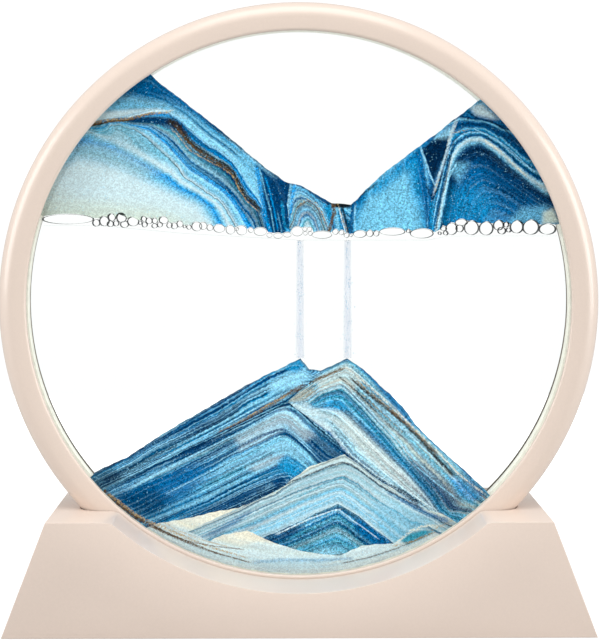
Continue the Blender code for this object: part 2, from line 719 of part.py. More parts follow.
def add_base_cover(parts, cutters, plastic):
    lean = math.atan2(BASE_END_FLARE, BASE_TOP_Z - FOOT_STANDOFF)
    half_width = base_half_width(COVER_TOP_Z) - BASE_WALL / math.cos(lean) - FIT_GAP
    half_depth = HALF_BAY - FIT_GAP
    outline = [
        (-half_width, FOOT_STANDOFF), (half_width, FOOT_STANDOFF),
        (half_width, COVER_TOP_Z), (-half_width, COVER_TOP_Z),
    ]
    cover = add_slab("base_cover", outline, 2 * half_depth, parts, plastic)
    cup_foot_z = COVER_TOP_Z - COVER_THICKNESS / 2
    cups = (
        ("screw_cup_cutter", boss_places(), HEAD_BORE_RADIUS + CUP_WALL),
        ("foot_cup_cutter", foot_places(), FOOT_CUP_RADIUS),
    )
    for name, places, radius in cups:
        cup = add_cylinders(name, places, radius, cup_foot_z, CUP_TOP_Z, cutters)
        boolean(cover, as_cutter(cup), "UNION")
    through = CUP_TOP_Z + CUTTER_OVERRUN
    holes = (
        ("screw_well_cutter", boss_places(), HEAD_BORE_RADIUS, screw_seat_z()),
        ("screw_hole_cutter", boss_places(), SHANK_BORE_RADIUS, through),
        ("foot_pocket_cutter", foot_places(), FOOT_RADIUS + FIT_GAP, FOOT_STANDOFF + FOOT_POCKET_DEPTH),
        ("foot_hole_cutter", foot_places(), FOOT_STEM_RADIUS + FIT_GAP, through),
    )
    for name, places, radius, top in holes:
        hole = add_cylinders(name, places, radius, FOOT_STANDOFF - CUTTER_OVERRUN, top, cutters)
        boolean(cover, as_cutter(hole), "DIFFERENCE")


def add_base_screws(parts, steel):
    mesh = screw_mesh("base_screw", BASE_SCREW_REACH, steel)
    for number, (x, y) in enumerate(boss_places(), start=1):
        place = (x, y, screw_seat_z() - FIT_GAP)
        add_turned_copy(f"base_screw_{number}", mesh, parts, place, HEAD_DOWN)


def foot_mesh(rubber):
    """A foot that stands on z = 0, with a barbed stem above it."""
    pad_top = FOOT_STANDOFF + FOOT_POCKET_DEPTH - FIT_GAP
    barb_low = CUP_TOP_Z + FIT_GAP
    profile = [
        (0.0, barb_low + FOOT_BARB_HEIGHT),
        (FOOT_BARB_TIP_RADIUS, barb_low + FOOT_BARB_HEIGHT),
        (FOOT_BARB_RADIUS, barb_low),
        (FOOT_STEM_RADIUS, barb_low),
        (FOOT_STEM_RADIUS, pad_top),
        (FOOT_RADIUS, pad_top),
        (FOOT_RADIUS, 0.0),
        (0.0, 0.0),
    ]
    mesh = turned_mesh("foot", profile, False)
    mesh.materials.append(rubber)
    return mesh


def add_feet(parts, rubber):
    mesh = foot_mesh(rubber)
    for number, (x, y) in enumerate(foot_places(), start=1):
        add_turned_copy(f"foot_{number}", mesh, parts, (x, y, 0))


def main():
    remove_scene_objects()
    parts = new_collection("moving_sand_frame")
    cutters = new_collection("cutters")
    plastic = plastic_material()
    steel = steel_material()
    rubber = rubber_material()

    add_base_shell(parts, cutters, plastic)
    add_base_cover(parts, cutters, cover_material())
    add_base_screws(parts, steel)
    add_feet(parts, rubber)

    ring_middle = (0, 0, RING_CENTRE_Z)
    ring_axis = add_empty("ring_spin_axis", parts, ring_middle)
    lift_axis = add_empty("ring_lift_axis", parts, ring_middle)
    add_seal(parts, lift_axis, seal_material())
    add_ring_halves(parts, cutters, ring_axis, plastic)
    add_ring_screws(parts, ring_axis, steel)
    add_stopper(parts, ring_axis, rubber)
    add_panes(parts, ring_axis, glass_material())
    add_fillings(parts, cutters, ring_axis)


main()
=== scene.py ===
import math
import random

import bmesh
import bpy
import numpy as np
from mathutils import Matrix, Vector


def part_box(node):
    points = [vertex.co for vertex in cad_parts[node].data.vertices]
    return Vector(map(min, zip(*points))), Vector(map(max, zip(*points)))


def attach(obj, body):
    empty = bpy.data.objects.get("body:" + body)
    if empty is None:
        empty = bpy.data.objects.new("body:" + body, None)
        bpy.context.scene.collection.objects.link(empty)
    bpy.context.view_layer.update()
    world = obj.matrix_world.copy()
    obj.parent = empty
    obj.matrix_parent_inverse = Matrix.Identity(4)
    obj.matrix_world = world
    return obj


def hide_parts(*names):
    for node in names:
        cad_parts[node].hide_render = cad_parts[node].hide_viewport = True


bl_info = {
    "name": "Moving Sand Picture",
    "version": (1, 0, 0),
    "blender": (4, 5, 0),
    "location": "3D View > Sidebar > Sand Picture",
    "description": "Builds the finished look of a round moving sand picture on its slotted base",
    "category": "Add Mesh",
}

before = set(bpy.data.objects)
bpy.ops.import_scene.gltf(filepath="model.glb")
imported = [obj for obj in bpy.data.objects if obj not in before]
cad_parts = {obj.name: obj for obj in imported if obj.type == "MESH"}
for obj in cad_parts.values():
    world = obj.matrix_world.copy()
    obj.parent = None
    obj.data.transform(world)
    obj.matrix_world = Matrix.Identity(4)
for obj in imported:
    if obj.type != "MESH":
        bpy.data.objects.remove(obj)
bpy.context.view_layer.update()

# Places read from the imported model
RING_LOW, RING_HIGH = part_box("ring_front")
REAR_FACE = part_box("ring_rear")[1].y
PANE_LOW, PANE_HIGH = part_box("glass_front")
SHELL_LOW, SHELL_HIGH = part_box("base_shell")
COVER_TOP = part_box("base_cover")[1].z
SEAL_LOW, SEAL_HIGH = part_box("cell_seal")
PLUG_LOW, PLUG_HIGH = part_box("fill_plug")
RING_RADIUS = (RING_HIGH.x - RING_LOW.x) / 2
RING_Z = (RING_HIGH.z + RING_LOW.z) / 2
HALF_RING = -RING_LOW.y
PANE_RADIUS = (PANE_HIGH.x - PANE_LOW.x) / 2
MIDDLE = (0.0, 0.0, RING_Z)
ALONG_Y = (math.pi / 2, 0, 0)

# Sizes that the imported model's boxes don't show
WINDOW_RADIUS = 0.081
FRONT_UNDERCUT = 0.0008
REAR_WINDOW_RADIUS = 0.0821
REAR_FLARE = 0.0014
SEAL_INNER_RADIUS = 0.0815
HALF_SEAM = 0.00015
POCKET_RADIUS = 0.0833
POCKET_TOP = 0.0058
SHOULDER_WIDTH = 0.005
SHOULDER_DEPTH = 0.007
BASE_TOP_HALF = 0.07302
SCOOP_RADIUS = 0.082
SLOT_RADIUS = 0.0903
HALF_SLOT = 0.0104
BASE_WALL = 0.0024
BASE_GAP = 0.0001
BASE_ROOF = 0.0012
BOSS_RADIUS = 0.0030
BOSS_GAP = 0.0003
SCREW_PITCH = 0.08665
SCREW_HEAD = 0.0017
SCREW_BORE = 0.0020
BORE_LENGTH = 0.0040
BORE_MIDDLE = REAR_FACE - 0.0008
PORT_STEPS = ((0.0028, 0.0015), (0.0017, 0.012))
PANE_EDGE = 0.00025
SEAL_GAP = 0.00005
SEAL_BOW = 0.0002
BUBBLE_DEPTH = 0.0044
BUBBLE_EDGE = 0.00042
VEIL_TOP = 0.0011
VEIL_FOOT = 0.0013
GRAINS_PER_STREAM = 170
LOOSE_GRAIN = 0.00013
LOOSE_REACH = 0.0019
SAND_HALF_DEPTH = 0.00245
SAND_BODY_HALF_DEPTH = 0.0023
SAND_FACE_RADIUS = 0.0826
SAND_BODY_RADIUS = 0.0814
SAND_STRETCH_FROM = 0.0785
SAND_HALF_GAP = 0.000152
SAND_SWAY_FADE = 0.003

# The optical density that sets how much a clear thing mirrors
GLASS_DENSITY = 1.07
LIQUID_DENSITY = 1.01

CAMERA_PLACE = (-0.0040, -0.4829, 0.1257)
CAMERA_TURN = (math.radians(90 - 2.02), 0, math.radians(-0.51))
CAMERA_SHIFT = -0.10

# The sand is drawn in the units of a 600 by 643 picture, taken on the sand's front face
DRAWN_X = 298.85
DRAWN_Y = 303.2
DRAWN_PER_METRE_X = 3306.0
DRAWN_PER_METRE_Z = 3345.0


def drawn_to_place(px, py):
    """The x and z of a point that is drawn in picture units."""
    return (px - DRAWN_X) / DRAWN_PER_METRE_X, RING_Z + (DRAWN_Y - py) / DRAWN_PER_METRE_Z


def place_to_drawn(x, z):
    return x * DRAWN_PER_METRE_X + DRAWN_X, DRAWN_Y - (z - RING_Z) * DRAWN_PER_METRE_Z


def linear(red, green, blue):
    """A colour given as 0 to 255 on screen, in the light units that shaders use."""
    shares = [c / 255 for c in (red, green, blue)]
    return tuple(s / 12.92 if s <= 0.04045 else ((s + 0.055) / 1.055) ** 2.4 for s in shares)


SAND = {
    "black": linear(14, 18, 22),
    "umber": linear(42, 36, 26),
    "ink": linear(0, 34, 66),
    "navy": linear(0, 56, 100),
    "deep": linear(0, 92, 148),
    "mid": linear(18, 136, 188),
    "vivid": linear(0, 142, 214),
    "light": linear(110, 184, 216),
    "sky": linear(150, 212, 238),
    "pale": linear(196, 218, 224),
    "milk": linear(216, 230, 230),
    "white": linear(222, 246, 252),
    "teal": linear(58, 150, 176),
    "grey": linear(146, 184, 194),
    "cream": linear(232, 230, 212),
    "beige": linear(200, 212, 200),
    "gold": linear(184, 158, 112),
    "brown": linear(92, 68, 40),
}


class PlasticSettings(bpy.types.PropertyGroup):
    colour: bpy.props.FloatVectorProperty(
        name="Colour", description="Colour of the ring", subtype="COLOR",
        size=3, min=0, max=1, default=(0.690, 0.575, 0.494))
    base_colour: bpy.props.FloatVectorProperty(
        name="Base colour", description="Colour of the base", subtype="COLOR",
        size=3, min=0, max=1, default=(0.740, 0.616, 0.532))
    cover_colour: bpy.props.FloatVectorProperty(
        name="Cover colour", description="Colour of the cover under the base", subtype="COLOR",
        size=3, min=0, max=1, default=(0.65, 0.55, 0.48))
    roughness: bpy.props.FloatProperty(
        name="Roughness", description="How matt the moulded plastic is", subtype="FACTOR",
        min=0, max=1, default=0.34)
    grain_size: bpy.props.FloatProperty(
        name="Grain size", description="Size of the moulded surface's fine grain",
        subtype="DISTANCE", unit="LENGTH", min=0.0001, max=0.01, default=0.0006)


class RingSettings(bpy.types.PropertyGroup):
    facets: bpy.props.IntProperty(
        name="Facets", description="Facets round the ring and its panes", min=48, max=512, default=216)
    lip_round: bpy.props.FloatProperty(
        name="Lip rounding", description="Rounding of the window's edge", subtype="DISTANCE",
        unit="LENGTH", min=0.0002, max=0.002, default=0.0009)
    seal_colour: bpy.props.FloatVectorProperty(
        name="Seal colour", description="Colour of the seal between the panes", subtype="COLOR",
        size=3, min=0, max=1, default=linear(214, 214, 202))


class BaseSettings(bpy.types.PropertyGroup):
    edge_round: bpy.props.FloatProperty(
        name="Edge rounding", description="Rounding of the base's outer edges",
        subtype="DISTANCE", unit="LENGTH", min=0.0002, max=0.003, default=0.0011)
    corner_width: bpy.props.FloatProperty(
        name="Scoop corner", description="How far the scoop's upper corners are rounded",
        subtype="DISTANCE", unit="LENGTH", min=0.0005, max=0.006, default=0.00227)


class SandSettings(bpy.types.PropertyGroup):
    grid: bpy.props.FloatProperty(
        name="Grid", description="Spacing of the mesh on the sand's faces", subtype="DISTANCE",
        unit="LENGTH", min=0.0003, max=0.003, default=0.0004)
    waviness: bpy.props.FloatProperty(
        name="Waviness", description="How far the sand's edges wander", subtype="DISTANCE",
        unit="LENGTH", min=0, max=0.001, default=0.00016)
    grain: bpy.props.FloatProperty(
        name="Grain", description="Size of one grain of sand", subtype="DISTANCE",
        unit="LENGTH", min=0.00005, max=0.001, default=0.00032)


class StageSettings(bpy.types.PropertyGroup):
    backdrop: bpy.props.FloatProperty(
        name="Backdrop", description="Brightness of the white that is seen behind", min=0, max=4,
        default=1.04)
    surround: bpy.props.FloatProperty(
        name="Surround", description="Brightness of the white room as a light", min=0, max=4, default=0.57)
    key: bpy.props.FloatProperty(
        name="Key light", description="Power of the soft light from the upper left",
        unit="POWER", min=0, max=500, default=11.0)
    fill: bpy.props.FloatProperty(
        name="Fill light", description="Power of the soft light from the right", unit="POWER",
        min=0, max=500, default=12.3)
    top: bpy.props.FloatProperty(
        name="Top light", description="Power of the soft light above the front", unit="POWER",
        min=0, max=500, default=9.4)
    window: bpy.props.FloatProperty(
        name="Window light", description="Power of the narrow light that falls on the window",
        unit="POWER", min=0, max=500, default=29.0)
    lens: bpy.props.FloatProperty(
        name="Lens", description="Focal length of the camera in millimetres", min=10, max=300,
        default=89.46)


class SandPictureSettings(bpy.types.PropertyGroup):
    plastic: bpy.props.PointerProperty(
        type=PlasticSettings, name="Plastic", description="The moulded plastic")
    ring: bpy.props.PointerProperty(
        type=RingSettings, name="Ring", description="The ring and its glass cell")
    base: bpy.props.PointerProperty(
        type=BaseSettings, name="Base", description="The base")
    sand: bpy.props.PointerProperty(
        type=SandSettings, name="Sand", description="The sand")
    stage: bpy.props.PointerProperty(
        type=StageSettings, name="Stage", description="Floor, light and camera")


def settings():
    return bpy.context.scene.sand_picture


# Modelling by hand

def deselect():
    if bpy.context.mode != "OBJECT":
        bpy.ops.object.mode_set(mode="OBJECT")
    bpy.ops.object.select_all(action="DESELECT")


def choose(*objects):
    deselect()
    for obj in objects:
        obj.select_set(True)
    bpy.context.view_layer.objects.active = objects[0]


def named(name):
    obj = bpy.context.object
    obj.name = name
    obj.data.name = name
    return obj


def select(action):
    """Selects or deselects all of the mesh that is being edited."""
    bpy.ops.mesh.select_all(action=action)


def edit(obj):
    choose(obj)
    bpy.ops.object.mode_set(mode="EDIT")
    select("SELECT")
    return bmesh.from_edit_mesh(obj.data)


def end_edit(obj):
    bmesh.update_edit_mesh(obj.data)
    bpy.ops.object.mode_set(mode="OBJECT")


def set_in_mesh(obj):
    """Moves the object's place, turn and size into its mesh."""
    choose(obj)
    bpy.ops.object.transform_apply(location=True, rotation=True, scale=True)


def apply_modifiers(obj):
    choose(obj)
    for modifier in list(obj.modifiers):
        bpy.ops.object.modifier_apply(modifier=modifier.name)


def combine(obj, other, operation):
    """Cuts, joins or meets two solids, and removes the second."""
    modifier = obj.modifiers.new("combine", "BOOLEAN")
    modifier.operation = operation
    modifier.solver = "EXACT"
    modifier.object = other
    apply_modifiers(obj)
    bpy.data.objects.remove(other, do_unlink=True)


def bevel_sharp(obj, width, segments, angle=40.0):
    modifier = obj.modifiers.new("edge", "BEVEL")
    modifier.width = width
    modifier.segments = segments
    modifier.limit_method = "ANGLE"
    modifier.angle_limit = math.radians(angle)
    modifier.use_clamp_overlap = True
    apply_modifiers(obj)


def smooth(obj, angle=35.0):
    choose(obj)
    bpy.ops.object.shade_smooth_by_angle(angle=math.radians(angle))


def turned(name, profile, centre, axis, steps):
    """Spins a closed (radius, height) profile about an axis through a centre, along Y or Z."""
    deselect()
    bpy.ops.mesh.primitive_circle_add(vertices=len(profile), radius=0.001, location=(0, 0, 0))
    obj = named(name)
    bm = edit(obj)
    bm.verts.ensure_lookup_table()
    for vert, (radius, height) in zip(bm.verts, profile):
        if axis == "Y":
            vert.co = (centre[0] + radius, centre[1] + height, centre[2])
        else:
            vert.co = (centre[0] + radius, centre[1], centre[2] + height)
    bmesh.update_edit_mesh(obj.data)
    direction = (0, 1, 0) if axis == "Y" else (0, 0, 1)
    bpy.ops.mesh.spin(steps=steps, angle=2 * math.pi, center=centre, axis=direction)
    select("SELECT")
    bpy.ops.mesh.remove_doubles(threshold=0.000002)
    bpy.ops.mesh.dissolve_degenerate(threshold=0.000001)
    select("SELECT")
    bpy.ops.mesh.normals_make_consistent(inside=False)
    end_edit(obj)
    return obj


def middle_of(node):
    low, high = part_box(node)
    return (low.x + high.x) / 2, (low.y + high.y) / 2, (low.z + high.z) / 2


def cylinder(name, radius, depth, location, rotation=(0, 0, 0), vertices=32):
    deselect()
    bpy.ops.mesh.primitive_cylinder_add(
        vertices=vertices, radius=radius, depth=depth, location=location, rotation=rotation)
    obj = named(name)
    set_in_mesh(obj)
    return obj


def box(name, low, high):
    deselect()
    middle = [(a + b) / 2 for a, b in zip(low, high)]
    bpy.ops.mesh.primitive_cube_add(size=1, location=middle, scale=[b - a for a, b in zip(low, high)])
    obj = named(name)
    set_in_mesh(obj)
    return obj


def narrow_top(obj, share):
    """Draws a box's top in towards the middle, so that its ends slant."""
    bm = edit(obj)
    select("DESELECT")
    for face in bm.faces:
        face.select_set(face.normal.z > 0.9)
    bm.select_flush(True)
    bmesh.update_edit_mesh(obj.data)
    bpy.ops.transform.resize(value=(share, 1, 1), center_override=(0, 0, 0))
    end_edit(obj)


def merged_copy(node, name):
    """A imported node's shape as an object of its own, with its flat faces merged, in edit mode."""
    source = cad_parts[node]
    obj = source.copy()
    obj.data = source.data.copy()
    obj.name = name
    obj.data.name = name
    obj.parent = None
    bpy.context.scene.collection.objects.link(obj)
    edit(obj)
    bpy.ops.mesh.remove_doubles(threshold=0.00001)
    bpy.ops.mesh.dissolve_limited(angle_limit=math.radians(0.5))
    return obj


def copy_of(obj, name, matrix):
    twin = obj.copy()
    twin.data = obj.data.copy()
    twin.name = name
    twin.data.name = name
    twin.data.transform(matrix)
    bpy.context.scene.collection.objects.link(twin)
    return twin


def dress(obj, material, slot, body, *nodes):
    obj.data.materials.clear()
    obj.data.materials.append(material)
    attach(obj, body)
    if nodes:
        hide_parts(*nodes)


# Materials

class Nodes:
    """Adds shader nodes to one material."""

    def __init__(self, name):
        self.material = bpy.data.materials.new(name)
        self.material.use_nodes = True
        self.tree = self.material.node_tree
        self.shader = self.tree.nodes["Principled BSDF"]
        self.output = self.tree.nodes["Material Output"]

    def add(self, kind, inputs=None, **values):
        node = self.tree.nodes.new(kind)
        for key, value in values.items():
            setattr(node, key, value)
        for key, value in (inputs or {}).items():
            if isinstance(value, bpy.types.NodeSocket):
                self.tree.links.new(value, node.inputs[key])
            else:
                node.inputs[key].default_value = value
        return node

    def join(self, source, target):
        self.tree.links.new(source, target)

    def place(self):
        return self.add("ShaderNodeTexCoord").outputs["Object"]

    def maths(self, operation, first, second=0.0, clamp=False):
        node = self.add("ShaderNodeMath", {0: first, 1: second}, operation=operation)
        node.use_clamp = clamp
        return node.outputs[0]

    def noise(self, vector, scale, detail=2.0, rough=0.5):
        node = self.add("ShaderNodeTexNoise",
                        {"Vector": vector, "Scale": scale, "Detail": detail, "Roughness": rough})
        return node.outputs["Fac"]

    def cells(self, vector, scale):
        """Grains, each with three random numbers of its own."""
        node = self.add("ShaderNodeTexVoronoi", {"Vector": vector, "Scale": scale})
        return self.add("ShaderNodeSeparateColor", {"Color": node.outputs["Color"]}).outputs

    def attribute(self, name):
        return self.add("ShaderNodeAttribute", attribute_name=name)

    def mix(self, factor, first, second, kind="MIX"):
        node = self.add("ShaderNodeMix", {0: factor, 6: first, 7: second},
                        data_type="RGBA", blend_type=kind)
        return node.outputs[2]

    def span(self, value, low, high, to_low=0.0, to_high=1.0):
        node = self.add("ShaderNodeMapRange", {"Value": value, "From Min": low, "From Max": high,
                                               "To Min": to_low, "To Max": to_high})
        return node.outputs["Result"]

    def ramp(self, value, stops):
        node = self.add("ShaderNodeValToRGB", {"Fac": value})
        points = node.color_ramp.elements
        while len(points) > 1:
            points.remove(points[-1])
        for index, (at, colour) in enumerate(stops):
            point = points[0] if index == 0 else points.new(at)
            point.position = at
            point.color = (*colour[:3], 1.0)
        return node.outputs["Color"]

    def bump(self, height, strength, distance):
        node = self.add("ShaderNodeBump", {"Height": height, "Strength": strength, "Distance": distance})
        self.join(node.outputs["Normal"], self.shader.inputs["Normal"])

    def set(self, **values):
        for key, value in values.items():
            self.shader.inputs[key.replace("_", " ")].default_value = value

    def colour(self, source):
        self.join(source, self.shader.inputs["Base Color"])

    def matt(self, source):
        self.join(source, self.shader.inputs["Roughness"])

    def clear(self, tint=(1, 1, 1)):
        return self.add("ShaderNodeBsdfTransparent", {"Color": (*tint, 1)})

    def facing(self):
        """0 where a surface is seen head on, and 1 at its rim."""
        return self.add("ShaderNodeLayerWeight", {"Blend": 0.5}).outputs["Facing"]

    def blend(self, share, first, second):
        """Shows a share of the second shader in the first."""
        mixed = self.add("ShaderNodeMixShader", {0: share, 1: first.outputs[0], 2: second.outputs[0]})
        self.join(mixed.outputs[0], self.output.inputs["Surface"])


def moulded_plastic(name, colour, roughness, grain_size):
    """Moulded plastic with a fine, even grain, slightly paler on the grain's tops."""
    nodes = Nodes(name)
    place = nodes.place()
    fine = nodes.noise(place, 1 / grain_size, 3.0, 0.6)
    broad = nodes.noise(place, 18.0, 2.0)
    low = tuple(c * 0.965 for c in colour)
    high = tuple(min(1.0, c * 1.03) for c in colour)
    shade = nodes.maths("ADD", nodes.maths("MULTIPLY", fine, 0.45), nodes.maths("MULTIPLY", broad, 0.55))
    nodes.colour(nodes.ramp(shade, [(0.3, low), (0.5, colour), (0.72, high)]))
    nodes.matt(nodes.span(fine, 0.3, 0.7, roughness - 0.05, roughness + 0.07))
    nodes.bump(fine, 0.22, 0.00004)
    nodes.set(Specular_IOR_Level=0.5, Coat_Weight=0.35, Coat_Roughness=0.16)
    return nodes.material


def clear_pane(name, tint, density):
    """Glass that passes light straight through and whose outer side mirrors a little at a slant."""
    nodes = Nodes(name)
    smear = nodes.noise(nodes.place(), 60.0, 2.0)
    mirror = nodes.add("ShaderNodeBsdfGlossy", {
        "Color": (0.92, 0.96, 0.97, 1), "Roughness": nodes.span(smear, 0.35, 0.7, 0.015, 0.06)})
    fresnel = nodes.add("ShaderNodeFresnel", {"IOR": density}).outputs[0]
    rear_side = nodes.add("ShaderNodeNewGeometry").outputs["Backfacing"]
    share = nodes.maths("MULTIPLY", fresnel, nodes.maths("SUBTRACT", 1.0, rear_side))
    nodes.blend(share, nodes.clear(tint), mirror)
    return nodes.material


def seal_compound(colour):
    """Cured clear sealant, greenish grey, with faint ripples from its bead, and a painted glow in its own
    colour that stands in for light piped in through the glass.
    """
    nodes = Nodes("seal_compound")
    ripple = nodes.noise(nodes.place(), 420.0, 2.0)
    pale = tuple(min(1.0, c * 1.12) for c in colour)
    dark = tuple(c * 0.84 for c in colour)
    nodes.colour(nodes.ramp(ripple, [(0.3, dark), (0.55, colour), (0.75, pale)]))
    nodes.bump(ripple, 0.3, 0.0002)
    # The emission is painted light: the seal glows faintly in its own colour, as if lit by light piped
    # through the panes
    nodes.set(Roughness=0.3, Specular_IOR_Level=0.4, Emission_Color=(*colour, 1),
              Emission_Strength=0.45)
    return nodes.material


def moulded_rubber():
    nodes = Nodes("moulded_rubber")
    place = nodes.place()
    fine = nodes.noise(place, 2600.0, 3.0)
    dust = nodes.noise(place, 260.0, 3.0)
    nodes.colour(nodes.ramp(dust, [(0.35, (0.24, 0.23, 0.22)), (0.7, (0.36, 0.35, 0.33))]))
    nodes.matt(nodes.span(dust, 0.3, 0.7, 0.66, 0.86))
    nodes.bump(fine, 0.4, 0.00005)
    return nodes.material


def plated_steel():
    """Zinc-plated screw steel with faint cloudiness."""
    nodes = Nodes("plated_steel")
    cloud = nodes.noise(nodes.place(), 900.0, 3.0)
    nodes.colour(nodes.ramp(cloud, [(0.3, (0.50, 0.51, 0.52)), (0.7, (0.70, 0.70, 0.69))]))
    nodes.matt(nodes.span(cloud, 0.3, 0.7, 0.22, 0.42))
    nodes.bump(cloud, 0.15, 0.00003)
    nodes.set(Metallic=1.0)
    return nodes.material


def bubble_skin():
    """A bubble's clear skin: white light passes its middle, and its rim is a fine dark line of painted
    shade, standing in for light bent away at the bubble's curved edge.
    """
    nodes = Nodes("bubble_skin")
    shade = nodes.noise(nodes.place(), 500.0, 1.0)
    dark = nodes.ramp(shade, [(0.35, (0.03, 0.032, 0.036)), (0.65, (0.16, 0.17, 0.18))])
    rim = nodes.add("ShaderNodeBsdfDiffuse", {"Color": dark, "Roughness": 0.3})
    # The rim's dark diffuse colour is painted shade where light is bent away at the bubble's edge
    nodes.blend(nodes.span(nodes.facing(), 0.38, 0.78, 0.0, 0.92), nodes.clear(), rim)
    return nodes.material


def falling_haze():
    """A thin veil of falling grains, soft towards its edges."""
    nodes = Nodes("falling_haze")
    veil = nodes.add("ShaderNodeBsdfDiffuse", {"Color": (*linear(150, 170, 205), 1)})
    stretch = nodes.add("ShaderNodeMapping", {"Vector": nodes.place(), "Scale": (1800, 1800, 160)})
    streaks = nodes.noise(stretch.outputs[0], 1.0, 2.0)
    core = nodes.span(nodes.facing(), 0.95, 0.1, 0.0, 0.17)
    share = nodes.maths("MULTIPLY", core, nodes.span(streaks, 0.3, 0.7, 0.5, 1.3))
    nodes.blend(share, nodes.clear(), veil)
    return nodes.material


def falling_grains():
    nodes = Nodes("falling_grains")
    value = nodes.cells(nodes.place(), 900.0)[0]
    nodes.colour(nodes.ramp(value, [(0.2, SAND["light"]), (0.6, SAND["pale"]), (0.9, SAND["white"])]))
    nodes.set(Roughness=0.7, Specular_IOR_Level=0.2)
    return nodes.material


def layered_sand(name, heap, grain_size, grain, lines, line_rate):
    """Layered sand. Bands are (level, colour name) from the top of the heap down; the level is an
    attribute of the mesh, and so are the tint and the distances to single drawn lines."""
    nodes = Nodes(name)
    place = nodes.place()
    split = nodes.add("ShaderNodeSeparateXYZ", {"Vector": place})
    level = nodes.attribute("level").outputs["Fac"]
    sway = nodes.noise(place, 95.0, 2.0)
    ruffle = nodes.noise(place, 1100.0, 2.0)
    level = nodes.maths("ADD", level, nodes.span(sway, 0.2, 0.8, -1.2, 1.2))
    level = nodes.maths("ADD", level, nodes.span(ruffle, 0.25, 0.75, -0.7, 0.7))
    bands = heap["bands"]
    low, high = bands[0][0], bands[-1][0]
    stops = [((at - low) / (high - low), SAND[colour]) for at, colour in bands]
    colour = nodes.ramp(nodes.span(level, low, high), stops)

    # Fine lines run along the layers: they change fast with the level and slowly along it
    def line_noise(rate, stretch, offset):
        across = nodes.maths("MULTIPLY_ADD", level, rate)
        across.node.inputs[2].default_value = offset
        along_x = nodes.maths("MULTIPLY", split.outputs["X"], stretch)
        along_z = nodes.maths("MULTIPLY", split.outputs["Z"], stretch)
        vector = nodes.add("ShaderNodeCombineXYZ", {"X": across, "Y": along_x, "Z": along_z})
        return nodes.noise(vector.outputs[0], 1.0, 1.0, 0.5)

    broad = line_noise(line_rate * 0.36, 20.0, 3.0)
    fine = line_noise(line_rate, 26.0, 11.0)
    hair = line_noise(line_rate * 1.9, 34.0, 27.0)
    # Each set of lines: where it starts and is full in its noise, its strength and its colour
    for source, first, last, strength, tone in (
            (broad, 0.52, 0.70, 0.9, "light"), (broad, 0.48, 0.32, 1.1, "navy"),
            (fine, 0.54, 0.69, 1.0, "sky"), (fine, 0.46, 0.33, 1.1, "navy"),
            (hair, 0.56, 0.70, 0.7, "sky"), (hair, 0.44, 0.32, 0.8, "ink")):
        amount = nodes.maths("MULTIPLY", nodes.span(source, first, last), lines * strength)
        if "calm" in heap:
            amount = nodes.maths("MULTIPLY", amount, nodes.span(level, *heap["calm"], 1.0, 0.1))
        colour = nodes.mix(amount, colour, (*SAND[tone], 1))

    tint = nodes.attribute("tint")
    hold = nodes.maths("MULTIPLY", tint.outputs["Alpha"], nodes.span(fine, 0.35, 0.65, 1.3, 0.96), True)
    colour = nodes.mix(hold, colour, tint.outputs["Color"])

    # Single lines of another sand, ragged at their edges and broken up by loose grains
    ragged = nodes.noise(place, 1900.0, 2.0)
    loose = nodes.noise(place, 2600.0, 1.0)
    for index, (line_name, strength, _, _) in enumerate(heap["lines"]):
        field = nodes.attribute(f"line_{index}").outputs["Vector"]
        drawn = nodes.add("ShaderNodeSeparateXYZ", {"Vector": field})
        offset = nodes.maths("ADD", drawn.outputs["X"], nodes.span(ragged, 0.25, 0.75, -0.55, 0.55))
        body = nodes.span(nodes.maths("ABSOLUTE", offset), 1.35, 0.7)
        body = nodes.maths("MULTIPLY", body, drawn.outputs["Y"])
        first, last, least = (0.44, 0.54, 0.08) if line_name in ("gold", "cream") else (0.32, 0.5, 0.35)
        amount = nodes.maths("MULTIPLY", body, nodes.span(loose, first, last, least * strength, strength))
        colour = nodes.mix(amount, colour, (*SAND[line_name], 1))

    # Single grains are lighter or darker than their layer, and a few carry a painted glint of pale blue
    tone = nodes.cells(place, 1 / grain_size)
    paleness = nodes.add("ShaderNodeSeparateColor", {"Color": colour}).outputs[0]
    speck = nodes.span(tone[0], 0.0, 1.0, 1 - grain, 1 + grain)
    cluster = nodes.span(nodes.noise(place, 0.28 / grain_size, 2.0, 0.7), 0.25, 0.75,
                         1 - 0.35 * grain, 1 + 0.35 * grain)
    dark = nodes.span(tone[2], 0.10, 0.04, 1.0, 1 - 0.9 * grain)
    shade = nodes.maths("MULTIPLY", nodes.maths("MULTIPLY", speck, cluster), dark)
    strength = nodes.span(paleness, 0.0, 0.5, 1.0, 0.34)
    colour = nodes.mix(strength, colour, nodes.mix(1.0, colour, nodes.add("ShaderNodeCombineColor", {
        "Red": shade, "Green": shade, "Blue": shade}).outputs[0], "MULTIPLY"))
    glint = nodes.maths("MULTIPLY", nodes.span(tone[1], 0.974, 0.990), 0.5)
    colour = nodes.mix(glint, colour, (*SAND["sky"], 1))
    nodes.colour(colour)
    nodes.bump(tone[0], 0.25, 0.00008)
    nodes.set(Roughness=0.85, Specular_IOR_Level=0.02)
    return nodes.material


# Levels and tints of the sand

# Lengths in picture units
GUIDE_STEP = 7.0
GUIDE_SLACK = 0.6
RUN_OUT = 400.0
LINE_FADE = 5
FOOTING_STEP = 2.0
FOOTING_REACH = 1.6
SETTLING_BAND = 18.0
BUBBLE_CLEARANCE = 0.6
BATCH = 4000


def along(line, step):
    """Points on a drawn line, no further apart than a step."""
    points = [line[0]]
    for (x0, y0), (x1, y1) in zip(line, line[1:]):
        count = max(1, round(math.dist((x0, y0), (x1, y1)) / step))
        points += [(x0 + (x1 - x0) * i / count, y0 + (y1 - y0) * i / count) for i in range(1, count + 1)]
    return points


